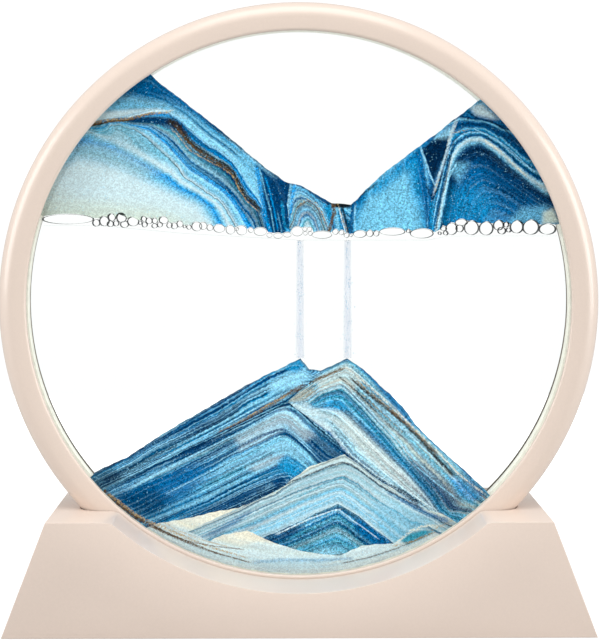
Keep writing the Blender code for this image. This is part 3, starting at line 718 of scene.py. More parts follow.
def level_field(guides, u, v):
    """The level at each point, from drawn lines of known level."""
    points, values = [], []
    for level, line in guides:
        for point in along(line, GUIDE_STEP):
            points.append(point)
            values.append(level)
    points, values = np.array(points), np.array(values, float)
    count = len(points)
    spread = np.linalg.norm(points[:, None] - points[None], axis=2)
    system = np.zeros((count + 3, count + 3))
    system[:count, :count] = spread - GUIDE_SLACK * np.eye(count)
    system[:count, count] = 1
    system[:count, count + 1:] = points / 100
    system[count:, :count] = system[:count, count:].T
    weights = np.linalg.solve(system, np.concatenate([values, np.zeros(3)]))
    levels = np.empty(len(u))
    for start in range(0, len(u), BATCH):
        part = np.stack([u[start:start + BATCH], v[start:start + BATCH]], 1)
        reach = np.linalg.norm(part[:, None] - points[None], axis=2)
        flat = np.concatenate([np.ones((len(part), 1)), part / 100], 1)
        levels[start:start + BATCH] = reach @ weights[:count] + flat @ weights[count:]
    return levels


def inside_share(outline, softness, u, v):
    """1 inside a drawn outline, 0 outside it, and a soft step between."""
    nearest = np.full(len(u), 1e9)
    crossings = np.zeros(len(u), bool)
    for (x0, y0), (x1, y1) in zip(outline, outline[1:] + outline[:1]):
        dx, dy = x1 - x0, y1 - y0
        share = np.clip(((u - x0) * dx + (v - y0) * dy) / (dx * dx + dy * dy), 0, 1)
        nearest = np.minimum(nearest, np.hypot(u - x0 - share * dx, v - y0 - share * dy))
        if y0 != y1:
            crossings ^= ((y0 > v) != (y1 > v)) & (u < x0 + (v - y0) * dx / dy)
    signed = np.where(crossings, nearest, -nearest)
    step = np.clip(signed / (2 * softness) + 0.5, 0, 1)
    return step * step * (3 - 2 * step)


def line_field(line, half_width, u, v):
    """The distance to each side of a drawn line, in half widths, and a mask that ends with the line."""
    first, last = half_width
    start, end = np.array(line[0], float), np.array(line[-1], float)
    lead = start - np.array(line[1], float)
    trail = end - np.array(line[-2], float)
    before = start + lead / np.hypot(*lead) * RUN_OUT
    after = end + trail / np.hypot(*trail) * RUN_OUT
    points = [tuple(before)] + list(line) + [tuple(after)]
    total = sum(math.dist(a, b) for a, b in zip(line, line[1:]))
    nearest = np.full(len(u), 1e9)
    offset = np.zeros(len(u))
    along_line = np.zeros(len(u))
    run = -RUN_OUT
    for (x0, y0), (x1, y1) in zip(points, points[1:]):
        dx, dy = x1 - x0, y1 - y0
        length = math.hypot(dx, dy)
        share = np.clip(((u - x0) * dx + (v - y0) * dy) / (length * length), 0, 1)
        reach = np.hypot(u - x0 - share * dx, v - y0 - share * dy)
        side = np.sign((u - x0) * dy - (v - y0) * dx)
        closer = reach < nearest
        nearest = np.where(closer, reach, nearest)
        offset = np.where(closer, side * reach, offset)
        along_line = np.where(closer, run + share * length, along_line)
        run += length
    width = np.interp(along_line, [0, total], [first, last])
    mask = (np.clip(1 + along_line / LINE_FADE, 0, 1)
            * np.clip(1 + (total - along_line) / LINE_FADE, 0, 1))
    return np.clip(offset / width, -9, 9), mask


def lay_tints(patches, u, v):
    """Lays drawn patches over each other, the last on top."""
    colour = np.zeros((len(u), 3))
    cover = np.zeros(len(u))
    for name, strength, softness, outline in patches:
        share = inside_share(outline, softness, u, v) * strength
        total = share + cover * (1 - share)
        safe = np.maximum(total, 1e-6)
        colour = (np.array(SAND[name]) * share[:, None]
                  + colour * (cover * (1 - share))[:, None]) / safe[:, None]
        cover = total
    return np.concatenate([colour, cover[:, None]], 1)


# The bubbles as drawn: the middle across and down, half the width and half the height
BUBBLES = [
    (68.5, 219, 25.5, 5), (96.6, 222.7, 3.6, 3.6), (104.6, 221.1, 4.8, 4.8), (112.2, 217.2, 3.6, 3.6),
    (110.7, 223.7, 3.2, 3.0), (116.3, 223.3, 2.8, 2.8), (121.8, 217.6, 4.8, 4.8), (124.7, 224.2, 4, 3.4),
    (133.3, 221.4, 5.7, 4.6), (140.3, 222.7, 1.9, 1.9), (144.1, 218.8, 2.6, 2.6), (144.8, 224.6, 2.6, 2.6),
    (149.2, 220.7, 3.2, 3.2), (155, 220.7, 2.8, 2.8), (154.7, 225.8, 2.8, 2.3), (160, 224.6, 2.6, 2.6),
    (163.9, 220.1, 4.6, 3.6), (169.6, 225.2, 2.8, 2.8), (174.5, 225.8, 3.2, 3.2), (180.1, 223.9, 3.2, 3.2),
    (184.6, 226.5, 1.5, 1.5), (189, 227.1, 2.3, 2.3), (196.8, 226.4, 5, 4.6), (203.3, 225.8, 3.8, 3.8),
    (210, 227.5, 3.2, 3.2), (219.3, 228.4, 5.7, 4.1), (230.4, 229.7, 4.5, 4.5), (236.7, 229, 1.9, 1.9),
    (241.6, 230.3, 5.3, 4.8), (250.8, 230, 2.6, 2.6), (260.3, 231.6, 6.4, 4.1), (269.3, 235.2, 2.8, 2.4),
    (277.9, 235.7, 4.5, 2.8), (287.1, 234.8, 4.1, 2.5), (297.1, 231.3, 5.7, 4.8), (304.6, 229.0, 2.2, 2.1),
    (309.3, 229.2, 2.3, 2.2), (305.2, 233.3, 2.1, 2), (310.2, 233.5, 2.2, 2.1), (321.6, 234.8, 10.2, 3.8),
    (335.2, 231.8, 2.8, 2.8), (341.2, 232.5, 2.5, 2.5), (346.3, 235.4, 2.5, 2.5), (350.6, 235.4, 1.6, 1.6),
    (359.5, 234.1, 6.4, 3.6), (369.5, 233.5, 3.4, 3.4), (376.1, 233.5, 2.8, 2.8), (392, 231.6, 12.8, 3.8),
    (408, 231, 1.9, 1.9), (421.5, 233.5, 11.5, 4.8), (439.5, 233.3, 1.6, 1.6), (445.5, 233, 2.3, 2.3),
    (443.4, 228.6, 3.0, 2.2), (451.3, 228.8, 5.7, 6), (459.5, 228.4, 3.7, 3.7), (461, 222.3, 6.2, 3.2),
    (471.3, 227.8, 7.1, 7.1), (486, 228.4, 6.8, 6.8), (498.3, 225.2, 5, 5), (501.6, 230.7, 3.9, 3.6),
    (506, 224.6, 2.6, 2.6), (508.5, 230, 2.3, 2.3), (516.6, 226.8, 6.4, 6.4), (530.7, 227.2, 8, 7.4),
    (547.3, 229.1, 8.3, 5.4),
]


def underside_of_sand(u, v):
    """The drawn height of the upper sand's lower edge, as it is and as it settles on the bubbles."""
    places = np.arange(math.floor(u.min()) - 1, math.ceil(u.max()) + 2, FOOTING_STEP)
    lowest = np.array([v[np.abs(u - at) < FOOTING_REACH].max(initial=-1.0) for at in places])
    known = lowest > 0
    plain = np.interp(u, places[known], lowest[known])
    settled = plain + FOOTING_STEP
    for x, y, half_width, half_height in BUBBLES:
        reach = 1 - ((u - x) / (half_width + BUBBLE_CLEARANCE)) ** 2
        top = y - (half_height + BUBBLE_CLEARANCE) * np.sqrt(np.maximum(reach, 0))
        settled = np.where(reach > 0, np.minimum(settled, top), settled)
    return plain, settled


def sway(u, v):
    """A smooth, small wander of the sand's edges, the same for neighbours."""
    across = np.sin(u * 0.23 + 1.3 * np.sin(v * 0.11)) + 0.6 * np.sin(u * 0.61 + v * 0.37)
    upright = np.sin(v * 0.27 + 1.1 * np.sin(u * 0.13)) + 0.6 * np.sin(v * 0.57 - u * 0.41)
    return across / 1.6, upright / 1.6


def sand_slab(node):
    """The node's outline filled with an even grid on both faces, as deep as the cell."""
    step = settings().sand.grid
    low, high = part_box(node)
    outline = merged_copy(node, f"outline_{node}")
    select("SELECT")
    # Deeper than the slab, and wider by half the gap to the next heap
    bpy.ops.transform.resize(value=(1, 4, 1), center_override=(0, 0, 0))
    bpy.ops.transform.shrink_fatten(value=SAND_HALF_GAP, use_even_offset=True)
    end_edit(outline)

    first_x, last_x = math.floor(low.x / step) - 1, math.ceil(high.x / step) + 1
    first_z, last_z = math.floor(low.z / step) - 1, math.ceil(high.z / step) + 1
    middle = ((first_x + last_x) * step / 2, -SAND_HALF_DEPTH, (first_z + last_z) * step / 2)
    deselect()
    bpy.ops.mesh.primitive_grid_add(
        x_subdivisions=last_x - first_x, y_subdivisions=last_z - first_z, size=1,
        location=middle, rotation=ALONG_Y)
    slab = named(f"sand_{node}")
    slab.scale = ((last_x - first_x) * step, (last_z - first_z) * step, 1)
    set_in_mesh(slab)
    edit(slab)
    bpy.ops.mesh.extrude_region_move(
        TRANSFORM_OT_translate={"value": (0, 2 * SAND_HALF_DEPTH, 0)})
    select("SELECT")
    bpy.ops.mesh.normals_make_consistent(inside=False)
    end_edit(slab)
    combine(slab, outline, "INTERSECT")
    edit(slab)
    bpy.ops.mesh.remove_doubles(threshold=0.000002)
    for depth in (-SAND_BODY_HALF_DEPTH, SAND_BODY_HALF_DEPTH):
        select("SELECT")
        bpy.ops.mesh.bisect(plane_co=(0, depth, 0), plane_no=(0, 1, 0))
    # The straight runs of the outline get as many points as the grid, so that they can be shaped
    bpy.ops.mesh.select_mode(type="EDGE")
    for _ in range(9):
        select("DESELECT")
        count = 0
        for run in bmesh.from_edit_mesh(slab.data).edges:
            reach = run.verts[0].co - run.verts[1].co
            if reach.length > 1.6 * step and abs(reach.y) < 0.5 * reach.length:
                run.select_set(True)
                count += 1
        bmesh.update_edit_mesh(slab.data)
        if count == 0:
            break
        bpy.ops.mesh.subdivide(number_cuts=1)
    bpy.ops.mesh.select_mode(type="FACE")
    select("DESELECT")
    for wall in bmesh.from_edit_mesh(slab.data).faces:
        if len(wall.verts) > 5:
            wall.select_set(True)
    bmesh.update_edit_mesh(slab.data)
    bpy.ops.mesh.quads_convert_to_tris(ngon_method="BEAUTY")
    bpy.ops.mesh.beautify_fill(angle_limit=math.radians(20))
    bpy.ops.mesh.select_mode(type="VERT")
    end_edit(slab)
    return slab


def points_of(mesh):
    """The mesh's points as rows of an array, and where they are drawn."""
    points = np.empty(len(mesh.vertices) * 3)
    mesh.vertices.foreach_get("co", points)
    points = points.reshape(-1, 3)
    return points, *place_to_drawn(points[:, 0], points[:, 2])


def shape_sand(slab, hangs):
    """Lets the slab's edges wander, and lifts the upper sand's lower edge over the bubbles."""
    mesh = slab.data
    co, u, v = points_of(mesh)
    radius = np.hypot(co[:, 0], co[:, 2] - RING_Z)
    free = np.clip((WINDOW_RADIUS - radius) / SAND_SWAY_FADE, 0, 1)
    if hangs:
        plain, settled = underside_of_sand(u, v)
        share = np.clip((v - (plain - SETTLING_BAND)) / SETTLING_BAND, 0, 1.1) ** 2
        co[:, 2] += (plain - settled) * share / DRAWN_PER_METRE_Z
        free *= 1 - np.clip(share, 0, 1)
    across, upright = sway(u, v)
    wander = settings().sand.waviness
    co[:, 0] += across * wander * free
    co[:, 2] += upright * wander * free
    # The faces spread over the seal's edge, behind the window's lip, and the body stops at the seal
    radius = np.hypot(co[:, 0], co[:, 2] - RING_Z)
    on_face = np.abs(co[:, 1]) > (SAND_HALF_DEPTH + SAND_BODY_HALF_DEPTH) / 2
    reach = np.where(on_face, SAND_FACE_RADIUS, SAND_BODY_RADIUS)
    share = np.clip((radius - SAND_STRETCH_FROM) / (WINDOW_RADIUS - SAND_STRETCH_FROM), 0, 1)
    limit = (radius + share ** 2 * (reach - WINDOW_RADIUS)) / radius
    co[:, 0] *= limit
    co[:, 2] = RING_Z + (co[:, 2] - RING_Z) * limit
    mesh.vertices.foreach_set("co", co.ravel())
    mesh.update()


def paint_sand(slab, heap):
    """Gives each point of the slab its level, its tint and its distance to each drawn line."""
    _, u, v = points_of(slab.data)

    def lay(name, kind, key, values):
        attribute = slab.data.attributes.new(name, kind, "POINT")
        attribute.data.foreach_set(key, values.astype(np.float32).ravel())

    lay("level", "FLOAT", "value", level_field(heap["guides"], u, v))
    lay("tint", "FLOAT_COLOR", "color", lay_tints(heap["patches"], u, v))
    for index, (_, _, half_width, line) in enumerate(heap["lines"]):
        offset, mask = line_field(line, half_width, u, v)
        lay(f"line_{index}", "FLOAT_VECTOR", "vector", np.stack([offset, mask, np.zeros(len(u))], 1))


def sheet_of_liquid(node):
    """The node's body of liquid, filled in where its streams run through it."""
    sheet = merged_copy(node, f"still_{node}")
    end_edit(sheet)
    side, depth, below = 0.00025, 0.0018, 0.0003
    for stream in ("stream_left", "stream_right"):
        low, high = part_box(stream)
        filling = box("filling", (low.x - side, -depth, low.z - below), (high.x + side, depth, high.z))
        combine(sheet, filling, "UNION")
    return sheet


# Each heap as drawn. Its guides are lines of one level, and its bands are the colours by level.
# Its patches are (colour, strength, softness, outline), and its lines are (colour, strength, half
# widths at both ends, points). Between the two calm levels the fine lines fade.
BANK_LEFT = {
    "guides": [
        (0, [(150, 70), (170.4, 90), (201, 115.5), (239.3, 146.1), (258.4, 162.7), (280, 178.6), (291, 200),
            (295, 235)]),
        (9, [(104, 78), (140, 92), (166, 100), (190, 117), (215, 138), (240, 158), (256, 174), (268, 196),
            (277, 234)]),
        (19, [(86, 110), (105, 107.5), (140, 105), (165, 107.5), (181, 116), (196, 128), (214, 142),
            (230, 154), (246, 172), (259, 193), (270, 234)]),
        (25, [(84, 125.5), (94, 123.5), (110, 120), (128, 118.2), (140, 115.4), (153, 112.2), (168, 112.6),
            (184, 126), (192, 134), (204, 144), (219, 153), (232, 162), (239, 173), (246, 186), (260, 204),
            (268, 234)]),
        (31, [(128, 120.5), (147, 117.4), (160, 117.2), (172, 119.3), (181, 126), (187, 134), (193, 142),
            (203, 148.5), (217, 157.5), (230, 165), (236.5, 172), (241.5, 183), (247, 194), (255, 200),
            (264, 212), (267, 234)]),
        (37, [(130, 122.5), (150, 121.5), (163, 125), (175, 132.5), (182.5, 141), (189, 150), (203, 159),
            (220, 167.5), (232, 176), (238, 188), (246.5, 202), (256, 210), (263, 232)]),
        (46, [(128, 123), (150, 126), (168, 139), (183, 155), (191, 164), (206, 175), (223, 187),
            (235, 199), (243, 211), (252, 222), (256, 233)]),
        (54, [(127, 124), (150, 131), (166, 145), (180, 160), (190, 171), (205, 180), (219, 189),
            (230, 201), (238, 213), (246, 230)]),
        (62, [(112, 123), (129, 122.7), (147, 137), (166, 154), (179, 167), (184, 176), (195, 184),
            (207, 193), (221, 203), (234, 224)]),
        (73, [(88, 129.5), (115, 142), (147, 159), (166, 172), (180, 182), (196, 191), (211, 200),
            (222, 211), (229, 226)]),
        (82, [(83, 138.5), (115, 146), (147, 164), (172, 177), (182, 187), (200, 196), (213, 205),
            (222, 226)]),
        (100, [(66, 168), (90, 170), (120, 178), (150, 190), (175, 201), (195, 208), (210, 222)]),
        (122, [(48, 199), (80, 198), (120, 201), (150, 207), (175, 216), (190, 224)]),
        (140, [(42, 214), (80, 215), (120, 216), (150, 219), (170, 222)]),
    ],
    "bands": [
        (0, "ink"), (0.9, "navy"), (2.2, "mid"), (5, "light"), (9, "mid"), (12, "light"), (15.5, "sky"),
        (19, "light"), (22.5, "sky"), (25, "vivid"), (28, "vivid"), (30.2, "navy"), (32, "black"),
        (35.6, "ink"), (37.0, "navy"), (38.4, "teal"), (41, "grey"), (43.2, "deep"), (45.4, "navy"),
        (47.6, "vivid"), (51.2, "vivid"), (53.6, "sky"), (57, "light"), (61.2, "pale"), (62.3, "black"),
        (63.4, "sky"), (71, "pale"), (78, "light"), (83, "vivid"), (91, "light"), (102, "pale"),
        (140, "beige"),
    ],
    "calm": (50, 70),
    "patches": [
        ("deep", 0.85, 9, [(150, 60), (222, 128), (190, 112), (165, 100), (130, 96), (96, 96)]),
        ("light", 0.55, 6, [(96, 104), (130, 98), (172, 106), (196, 122), (160, 110), (104, 112)]),
        ("pale", 0.75, 2.5, [(86, 113), (120, 110), (160, 108), (186, 118), (168, 111), (148, 111),
            (120, 117), (90, 122)]),
        ("navy", 0.9, 2.2, [(126, 121.5), (140, 117.6), (158, 116.6), (172, 118.6), (183, 124.5),
            (190, 136), (180, 132), (168, 125), (150, 123)]),
        ("teal", 0.55, 5, [(92, 128), (126, 124), (150, 140), (175, 162), (160, 160), (120, 140),
            (92, 134)]),
        ("grey", 0.6, 8, [(68, 142), (96, 140), (130, 150), (160, 172), (140, 178), (96, 160), (66, 154)]),
        ("pale", 0.8, 9, [(52, 182), (78, 158), (120, 168), (165, 190), (200, 208), (150, 204), (80, 196)]),
        ("navy", 1.0, 3, [(256, 164), (272, 175), (287, 180), (291, 182), (291, 214), (287, 228),
            (283, 236), (266, 236), (264, 210)]),
        ("light", 0.5, 3, [(236, 150), (250, 158), (262, 176), (262, 192), (250, 184), (240, 170)]),
    ],
    "lines": [
        ("umber", 0.85, (2.0, 1.6), [(84, 125.8), (94, 123.6), (110, 120.2), (128, 118.9), (140, 115.8),
            (153, 113)]),
        ("gold", 0.95, (1.6, 1.3), [(84, 125.8), (94, 123.4), (110, 120), (128, 118.7), (140, 115.6),
            (153, 112.6), (170, 111)]),
        ("brown", 0.9, (0.9, 0.7), [(86, 126.2), (94, 124.6), (110, 121.4), (128, 119.8), (137, 117.6)]),
        ("white", 0.7, (0.7, 0.9), [(130, 116.6), (142, 113.4), (153, 110.8), (171, 110)]),
        ("umber", 0.95, (3.6, 1.5), [(171, 120.5), (176, 123), (182.5, 131), (190, 141), (201, 150.5),
            (216, 160.5), (228, 167.5), (234.5, 174.5), (239.5, 184.5), (244.5, 195), (252, 201),
            (260, 209)]),
        ("brown", 0.75, (1.4, 0.7), [(178, 127), (186, 138), (194, 146.5), (206, 155), (220, 163.5),
            (230, 170.5), (236.5, 180)]),
        ("gold", 0.7, (0.8, 0.6), [(174, 130), (177.5, 133.5), (184, 141.5), (189.5, 149), (204, 158),
            (221, 166.5), (233, 175.5), (239, 188), (247, 201), (256, 209)]),
        ("vivid", 0.8, (1.9, 1.5), [(257, 168), (262.5, 201), (266, 218), (271, 234)]),
        ("light", 0.7, (0.7, 0.6), [(260, 169), (265, 190), (271, 212), (274, 230)]),
        ("vivid", 0.7, (0.9, 0.7), [(266, 179), (270, 192), (274.5, 211), (277, 226)]),
        ("mid", 0.8, (1.4, 1.2), [(282, 204), (283.5, 220), (287, 234)]),
        ("light", 0.4, (0.7, 0.7), [(278, 214), (280, 224), (282, 232)]),
    ],
}

BANK_CENTRE = {
    "guides": [
        (0, [(284, 180), (290, 181.2), (303, 188.2), (315.8, 197), (328.6, 204.8), (338, 205.5),
            (351, 205.5)]),
        (10, [(287, 214), (293, 196), (301, 192.5), (311, 200), (320, 209), (328, 222), (332, 236)]),
        (20, [(291, 226), (296, 208), (304, 202.5), (313, 206), (320, 216), (325, 236)]),
        (30, [(296, 232), (300, 218), (306, 212.5), (313, 218), (318, 232)]),
        (40, [(301, 236), (307, 222), (312, 236)]),
        (-12, [(332, 206), (336, 216), (339, 236)]),
        (-20, [(341, 206), (345, 216), (349, 236)]),
    ],
    "bands": [
        (-22, "navy"), (-16, "mid"), (-12, "light"), (-6, "mid"), (-1, "navy"), (0.5, "navy"), (2, "mid"),
        (4, "light"), (6, "deep"), (8, "sky"), (10, "mid"), (12, "grey"), (14, "deep"), (16.5, "grey"),
        (18.5, "teal"), (20, "brown"), (21, "grey"), (23, "navy"), (25, "sky"), (27, "mid"), (29, "pale"),
        (31.5, "deep"), (34, "sky"), (36, "teal"), (40, "pale"),
    ],
    "patches": [
        ("navy", 1.0, 1.6, [(280, 176), (291, 178), (290, 196), (287, 214), (286, 240), (281, 240)]),
        ("black", 0.95, 1.0, [(328, 198), (347, 198), (350, 206.5), (342, 208), (331, 207)]),
        ("mid", 0.7, 1.5, [(322, 204), (331, 206), (332, 218), (329, 226), (326, 214)]),
    ],
    "lines": [
        ("sky", 0.75, (0.9, 0.7), [(290, 187), (287.5, 205), (286.5, 234)]),
        ("vivid", 0.8, (1.6, 1.0), [(294, 187), (291, 206), (289, 222)]),
        ("gold", 0.75, (0.7, 0.7), [(300.5, 203), (307, 199), (316, 203), (322, 213), (326, 226)]),
        ("brown", 0.7, (0.7, 0.7), [(299, 206), (307, 201), (315, 205), (320, 214)]),
        ("brown", 0.95, (1.9, 1.6), [(333, 205), (334, 214), (331, 222), (328.5, 232)]),
        ("gold", 0.7, (0.8, 0.8), [(338, 206), (341, 216), (344, 224), (347.5, 234)]),
        ("black", 0.85, (1.3, 0.9), [(341, 206), (344.5, 217), (347.5, 230)]),
        ("white", 0.7, (0.6, 0.6), [(339, 210), (341.5, 221), (345, 232)]),
    ],
}

BANK_RIGHT = {
    "guides": [
        (0, [(434, 234), (441, 205), (445, 180), (449, 160), (456, 146), (466, 139.5), (478, 138.5),
            (488, 142.5), (500, 152), (512, 164), (530, 179), (548, 192)]),
        (-6, [(441, 224), (446, 200), (450, 175), (456, 160), (466, 150), (478, 148), (490, 154),
            (508, 170), (530, 188), (548, 200)]),
        (-16, [(449, 226), (454, 196), (460, 174), (470, 165), (484, 165), (500, 176), (522, 192),
            (552, 212)]),
        (-30, [(462, 226), (470, 200), (482, 186), (500, 192), (520, 206), (545, 222)]),
        (-42, [(480, 226), (492, 208), (510, 216), (530, 226)]),
        (7, [(430, 234), (435, 205), (441, 176), (446, 156), (453, 141), (465, 133), (482, 133), (500, 144),
            (518, 160), (536, 174)]),
        (14, [(429, 222), (433, 196), (438, 170), (443, 148), (449, 133), (462, 126), (482, 126.5),
            (502, 137), (522, 155)]),
        (24, [(427, 214), (424, 190), (419, 160), (424, 140), (442, 124), (458, 115), (476, 118),
            (490, 121), (501, 127)]),
        (34, [(425, 234), (417, 195), (411, 160), (436, 124), (462, 106), (482, 108)]),
        (60, [(390, 234), (388, 205), (390, 172)]),
        (85, [(349, 234), (352, 206), (362, 196)]),
    ],
    "bands": [
        (-42, "deep"), (-30, "deep"), (-20, "deep"), (-11, "navy"), (-6, "ink"), (-4, "navy"),
        (-2.6, "light"), (0, "pale"), (2, "sky"), (3.2, "deep"), (5, "navy"), (6.4, "mid"), (7.4, "sky"),
        (8.8, "deep"), (11, "mid"), (12.4, "light"), (13.6, "deep"), (17, "navy"), (20, "deep"),
        (21.4, "light"), (23, "navy"), (26, "deep"), (34, "mid"), (45, "light"), (60, "light"),
        (78, "light"), (82, "mid"), (85, "deep"),
    ],
    "patches": [
        ("mid", 0.75, 6, [(366, 196), (372, 184), (410, 152), (419, 150), (420, 165), (400, 175),
            (380, 192)]),
        ("deep", 0.6, 4, [(392, 170), (420, 146), (424, 170), (414, 160)]),
        ("light", 0.5, 8, [(352, 232), (356, 212), (395, 190), (418, 200), (424, 232)]),
        ("ink", 0.95, 1.8, [(421, 149), (433.5, 138.5), (446, 132), (449, 138), (443, 156), (436, 172),
            (432, 178), (427, 166)]),
        ("pale", 0.75, 3, [(468, 106), (480, 103), (497, 118), (490, 118), (474, 114)]),
        ("sky", 0.6, 3, [(434, 138), (446, 127), (452, 126), (450, 134), (444, 138)]),
        ("light", 0.55, 5, [(450, 170), (454, 162), (468, 163), (458, 182)]),
        ("mid", 0.5, 12, [(444, 222), (452, 190), (475, 186), (490, 196), (490, 222)]),
        ("navy", 0.55, 10, [(486, 160), (510, 172), (548, 200), (520, 208), (490, 190)]),
        ("light", 0.6, 5, [(505, 224), (520, 208), (545, 206), (556, 224)]),
        ("beige", 0.8, 3, [(541, 224), (542, 212), (552, 208), (558, 222)]),
    ],
    "lines": [
        ("navy", 0.85, (2.2, 1.6), [(351, 206), (350, 218), (351, 232)]),
        ("black", 0.7, (0.5, 1.2), [(351, 203), (357, 197.5), (374, 184.5)]),
        ("sky", 0.7, (0.7, 0.7), [(354.5, 208), (354, 220), (355, 232)]),
        ("deep", 0.85, (2.4, 2.2), [(417, 152), (421, 168), (425, 187), (428, 206), (430, 231)]),
        ("sky", 0.8, (0.9, 0.8), [(420, 148), (425, 162), (428.5, 173), (432.5, 182)]),
        ("pale", 0.75, (1.7, 1.2), [(454, 122), (449, 136), (445.5, 152), (441, 167), (436, 182),
            (434, 190)]),
        ("gold", 0.6, (0.9, 0.6), [(438.5, 178), (434.5, 188), (433, 193)]),
        ("ink", 0.85, (1.1, 1.0), [(426, 187), (431.6, 199), (437, 187), (441, 172), (446, 156)]),
        ("mid", 0.8, (2.0, 1.6), [(431, 204), (431, 231)]),
        ("ink", 0.85, (1.1, 1.0), [(452, 142), (449, 158), (444, 182), (440, 198), (435, 228)]),
        ("sky", 0.75, (0.8, 0.7), [(454, 165), (447.6, 177), (442.5, 201), (438.6, 226)]),
        ("gold", 0.75, (0.7, 0.7), [(455, 131.5), (465, 129.5)]),
        ("ink", 0.75, (0.8, 0.8), [(467, 112), (477, 118), (490, 121), (501, 127), (512, 138)]),
        ("cream", 0.8, (1.1, 1.0), [(484, 140.5), (498, 150), (511, 162.5), (522, 173)]),
        ("sky", 0.7, (0.6, 0.6), [(474, 129), (494, 138), (512, 152), (528, 168)]),
    ],
}

MOUND_LEFT = {
    "guides": [
        (0, [(88.9, 480.1), (131, 458.4), (169.3, 434.2), (207.6, 411.2), (243.3, 390.8), (265, 375.5),
            (280, 368), (297.8, 359.4), (304, 365), (309.3, 373)]),
        (13, [(94, 484), (130, 466), (156.5, 449), (182, 438), (220, 418), (246, 401.5), (271, 388),
            (293, 378), (303, 377), (310, 380)]),
        (24, [(99, 487), (140, 470.5), (180, 450.5), (220, 430), (255, 411), (280, 397), (295, 388),
            (310, 380)]),
        (35, [(105.6, 491), (150, 469), (200, 445), (250, 421.5), (288, 403.7), (300, 391.8)]),
    ],
    "bands": [
        (0, "navy"), (1.2, "deep"), (2.4, "mid"), (3.6, "navy"), (6, "deep"), (7.2, "light"), (8.2, "mid"),
        (10, "deep"), (11.2, "sky"), (13, "sky"), (14.8, "light"), (15.8, "navy"), (17.4, "mid"),
        (18.6, "sky"), (19.6, "light"), (21, "navy"), (23, "mid"), (24, "sky"), (25, "navy"), (27, "deep"),
        (28, "sky"), (29.2, "mid"), (30.6, "ink"), (33.4, "navy"), (35, "teal"),
    ],
    "patches": [
        ("sky", 0.65, 4, [(270, 384), (290, 374), (305, 370), (310, 378), (300, 388), (285, 391),
            (270, 394)]),
        ("ink", 0.6, 6, [(88, 480), (112, 470), (125, 480), (110, 496), (95, 490)]),
        ("mid", 0.6, 2, [(284, 370), (297.8, 360), (305, 367), (296, 374)]),
    ],
    "lines": [
        ("brown", 0.85, (0.7, 2.4), [(220, 433), (237, 425.5), (252, 417), (265, 409), (278, 402),
            (290, 394), (302, 388)]),
        ("gold", 0.7, (0.4, 1.0), [(224, 431), (240, 422.5), (256, 413.5), (270, 405), (285, 397.5)]),
        ("sky", 0.7, (0.6, 0.8), [(111, 492), (144, 472), (176, 453), (201, 440), (239, 419), (280, 396)]),
        ("ink", 0.8, (2.6, 1.2), [(106, 483), (144, 463), (182, 443), (206, 430), (236, 414)]),
    ],
}

